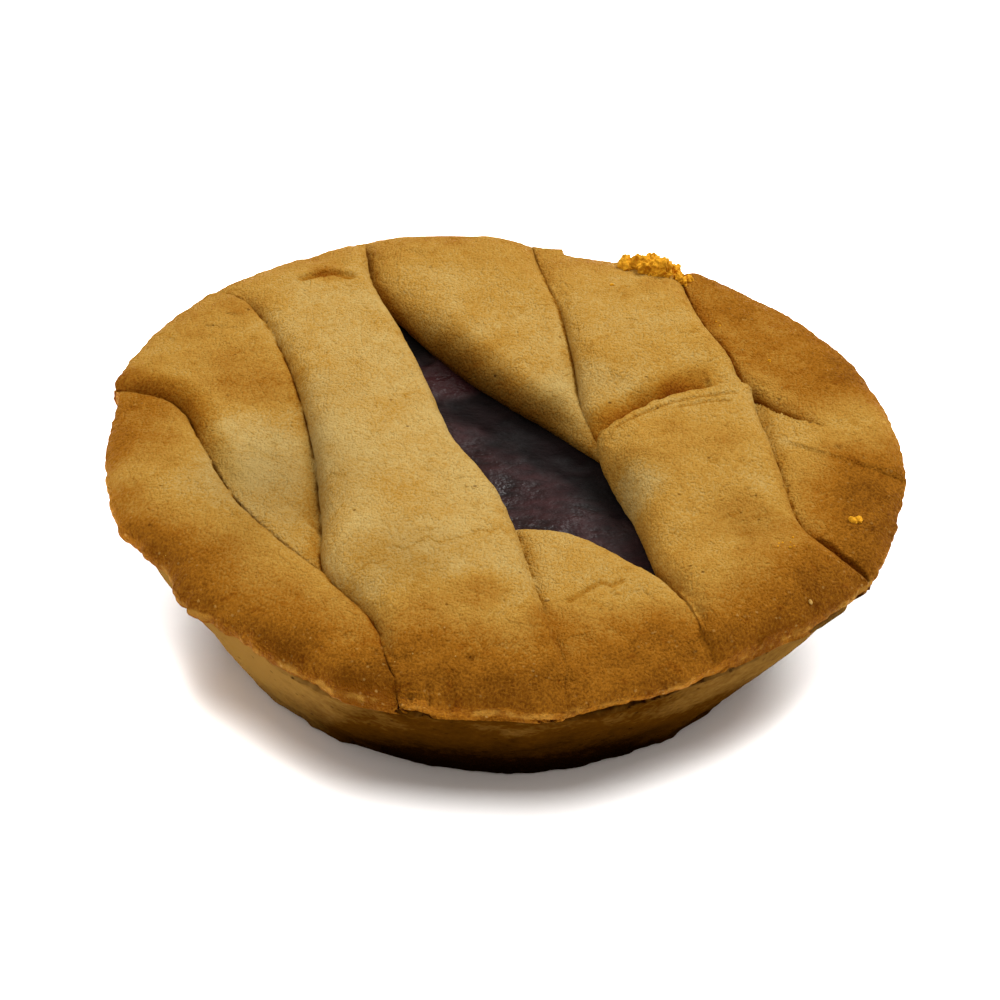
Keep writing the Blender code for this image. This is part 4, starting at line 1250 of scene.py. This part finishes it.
class SetStage(bpy.types.Operator):
    """Makes the floor, the lights and the camera."""

    bl_idname = "crostata.set_stage"
    bl_label = "Stage"

    def execute(self, context):
        scene = context.scene
        bm = bmesh.new()
        bmesh.ops.create_grid(bm, x_segments=1, y_segments=1, size=scene.crostata_sizes.floor)
        floor = as_mesh("floor", bm)
        floor.data.materials.append(floor_finish("pale_floor", scene.crostata_colours.floor))

        pieces = [o for o in bpy.data.objects if o.type == "MESH" and o != floor]
        pastry = collect("pastry", pieces)
        ground = collect("ground", [floor])
        for light in PASTRY_LIGHTS:
            add_light(*light, pastry)
        for light in FLOOR_LIGHTS:
            add_light(*light, ground)
        world = bpy.data.worlds.new("soft_room")
        world.use_nodes = True
        background = world.node_tree.nodes["Background"]
        background.inputs["Color"].default_value = rgba(ROOM_COLOUR)
        background.inputs["Strength"].default_value = ROOM_STRENGTH
        scene.world = world
        scene.view_settings.view_transform = "Standard"

        camera = bpy.data.cameras.new("camera")
        camera.lens = CAMERA_LENS
        camera.sensor_width = CAMERA_SENSOR
        camera.clip_start = CAMERA_NEAREST
        seen = bpy.data.objects.new("camera", camera)
        seen.location = CAMERA_PLACE
        looks = Vector(CAMERA_AIM) - Vector(CAMERA_PLACE)
        turn = looks.to_track_quat("-Z", "Y").to_matrix() @ Matrix.Rotation(CAMERA_ROLL, 3, "Z")
        seen.rotation_euler = turn.to_euler()
        scene.collection.objects.link(seen)
        scene.camera = seen
        return {"FINISHED"}


# The camera: half a metre from the pastry, 36 degrees above the table, rolled by under 2 degrees
CAMERA_PLACE = (0.0, -0.40278, 0.30830)
CAMERA_AIM = (0.00008, 0.00178, 0.01441)
CAMERA_ROLL = np.radians(1.88)
CAMERA_LENS = 142.0
CAMERA_SENSOR = 36.0
CAMERA_NEAREST = 0.01

# The lights, each on the pastry or on the floor alone: place, aim, size, power and colour
WHITE = (1, 1, 1)
PASTRY_LIGHTS = (
    ("key_softbox", (0.36, 0.40, 0.60), (0, 0, 0.02), 0.34, 6.1, WHITE),
    ("pastry_dome", (0, 0.05, 1.2), (0, 0, 0), 2.4, 15.6, WHITE),
    ("fill_softbox", (-0.75, -0.30, 0.45), (0, 0, 0.02), 0.7, 3.3, WHITE),
)
FLOOR_LIGHTS = (
    ("floor_key", (0.03, -0.50, 1.10), (0, 0, 0), 0.36, 20.5, WHITE),
    ("floor_left", (-0.42, 0.74, 0.85), (0, 0, 0), 0.40, 19.0, WHITE),
    ("floor_right", (0.55, 0.65, 0.85), (0, 0, 0), 0.40, 19.0, WHITE),
    ("floor_dome", (0, 0, 1.2), (0, 0, 0), 5.0, 78.0, (1.0, 0.90, 0.84)),
)
ROOM_COLOUR = (1.0, 0.82, 0.66)
ROOM_STRENGTH = 0.20


class CrostataPanel(bpy.types.Panel):
    """Lists the steps that bake the crostata."""

    bl_idname = "VIEW3D_PT_crostata"
    bl_label = "Crostata"
    bl_space_type = "VIEW_3D"
    bl_region_type = "UI"
    bl_category = "Crostata"

    def draw(self, context):
        for step in STEPS:
            self.layout.operator(step.bl_idname)


STEPS = (BakeCase, PourJam, LayLattice, ScatterCrumbs, SetStage)
CLASSES = (CrostataSizes, CrostataColours, *STEPS, CrostataPanel)


def register():
    """Adds the classes and the properties that hold the sizes and colours."""
    for cls in CLASSES:
        bpy.utils.register_class(cls)
    bpy.types.Scene.crostata_sizes = PointerProperty(type=CrostataSizes)
    bpy.types.Scene.crostata_colours = PointerProperty(type=CrostataColours)


def unregister():
    """Takes them away again."""
    del bpy.types.Scene.crostata_sizes
    del bpy.types.Scene.crostata_colours
    for cls in reversed(CLASSES):
        bpy.utils.unregister_class(cls)


def main():
    """Builds every piece in order."""
    register()
    bpy.ops.crostata.bake_case()
    bpy.ops.crostata.pour_jam()
    bpy.ops.crostata.lay_lattice()
    bpy.ops.crostata.scatter_crumbs()
    bpy.ops.crostata.set_stage()


if __name__ == "__main__":
    main()
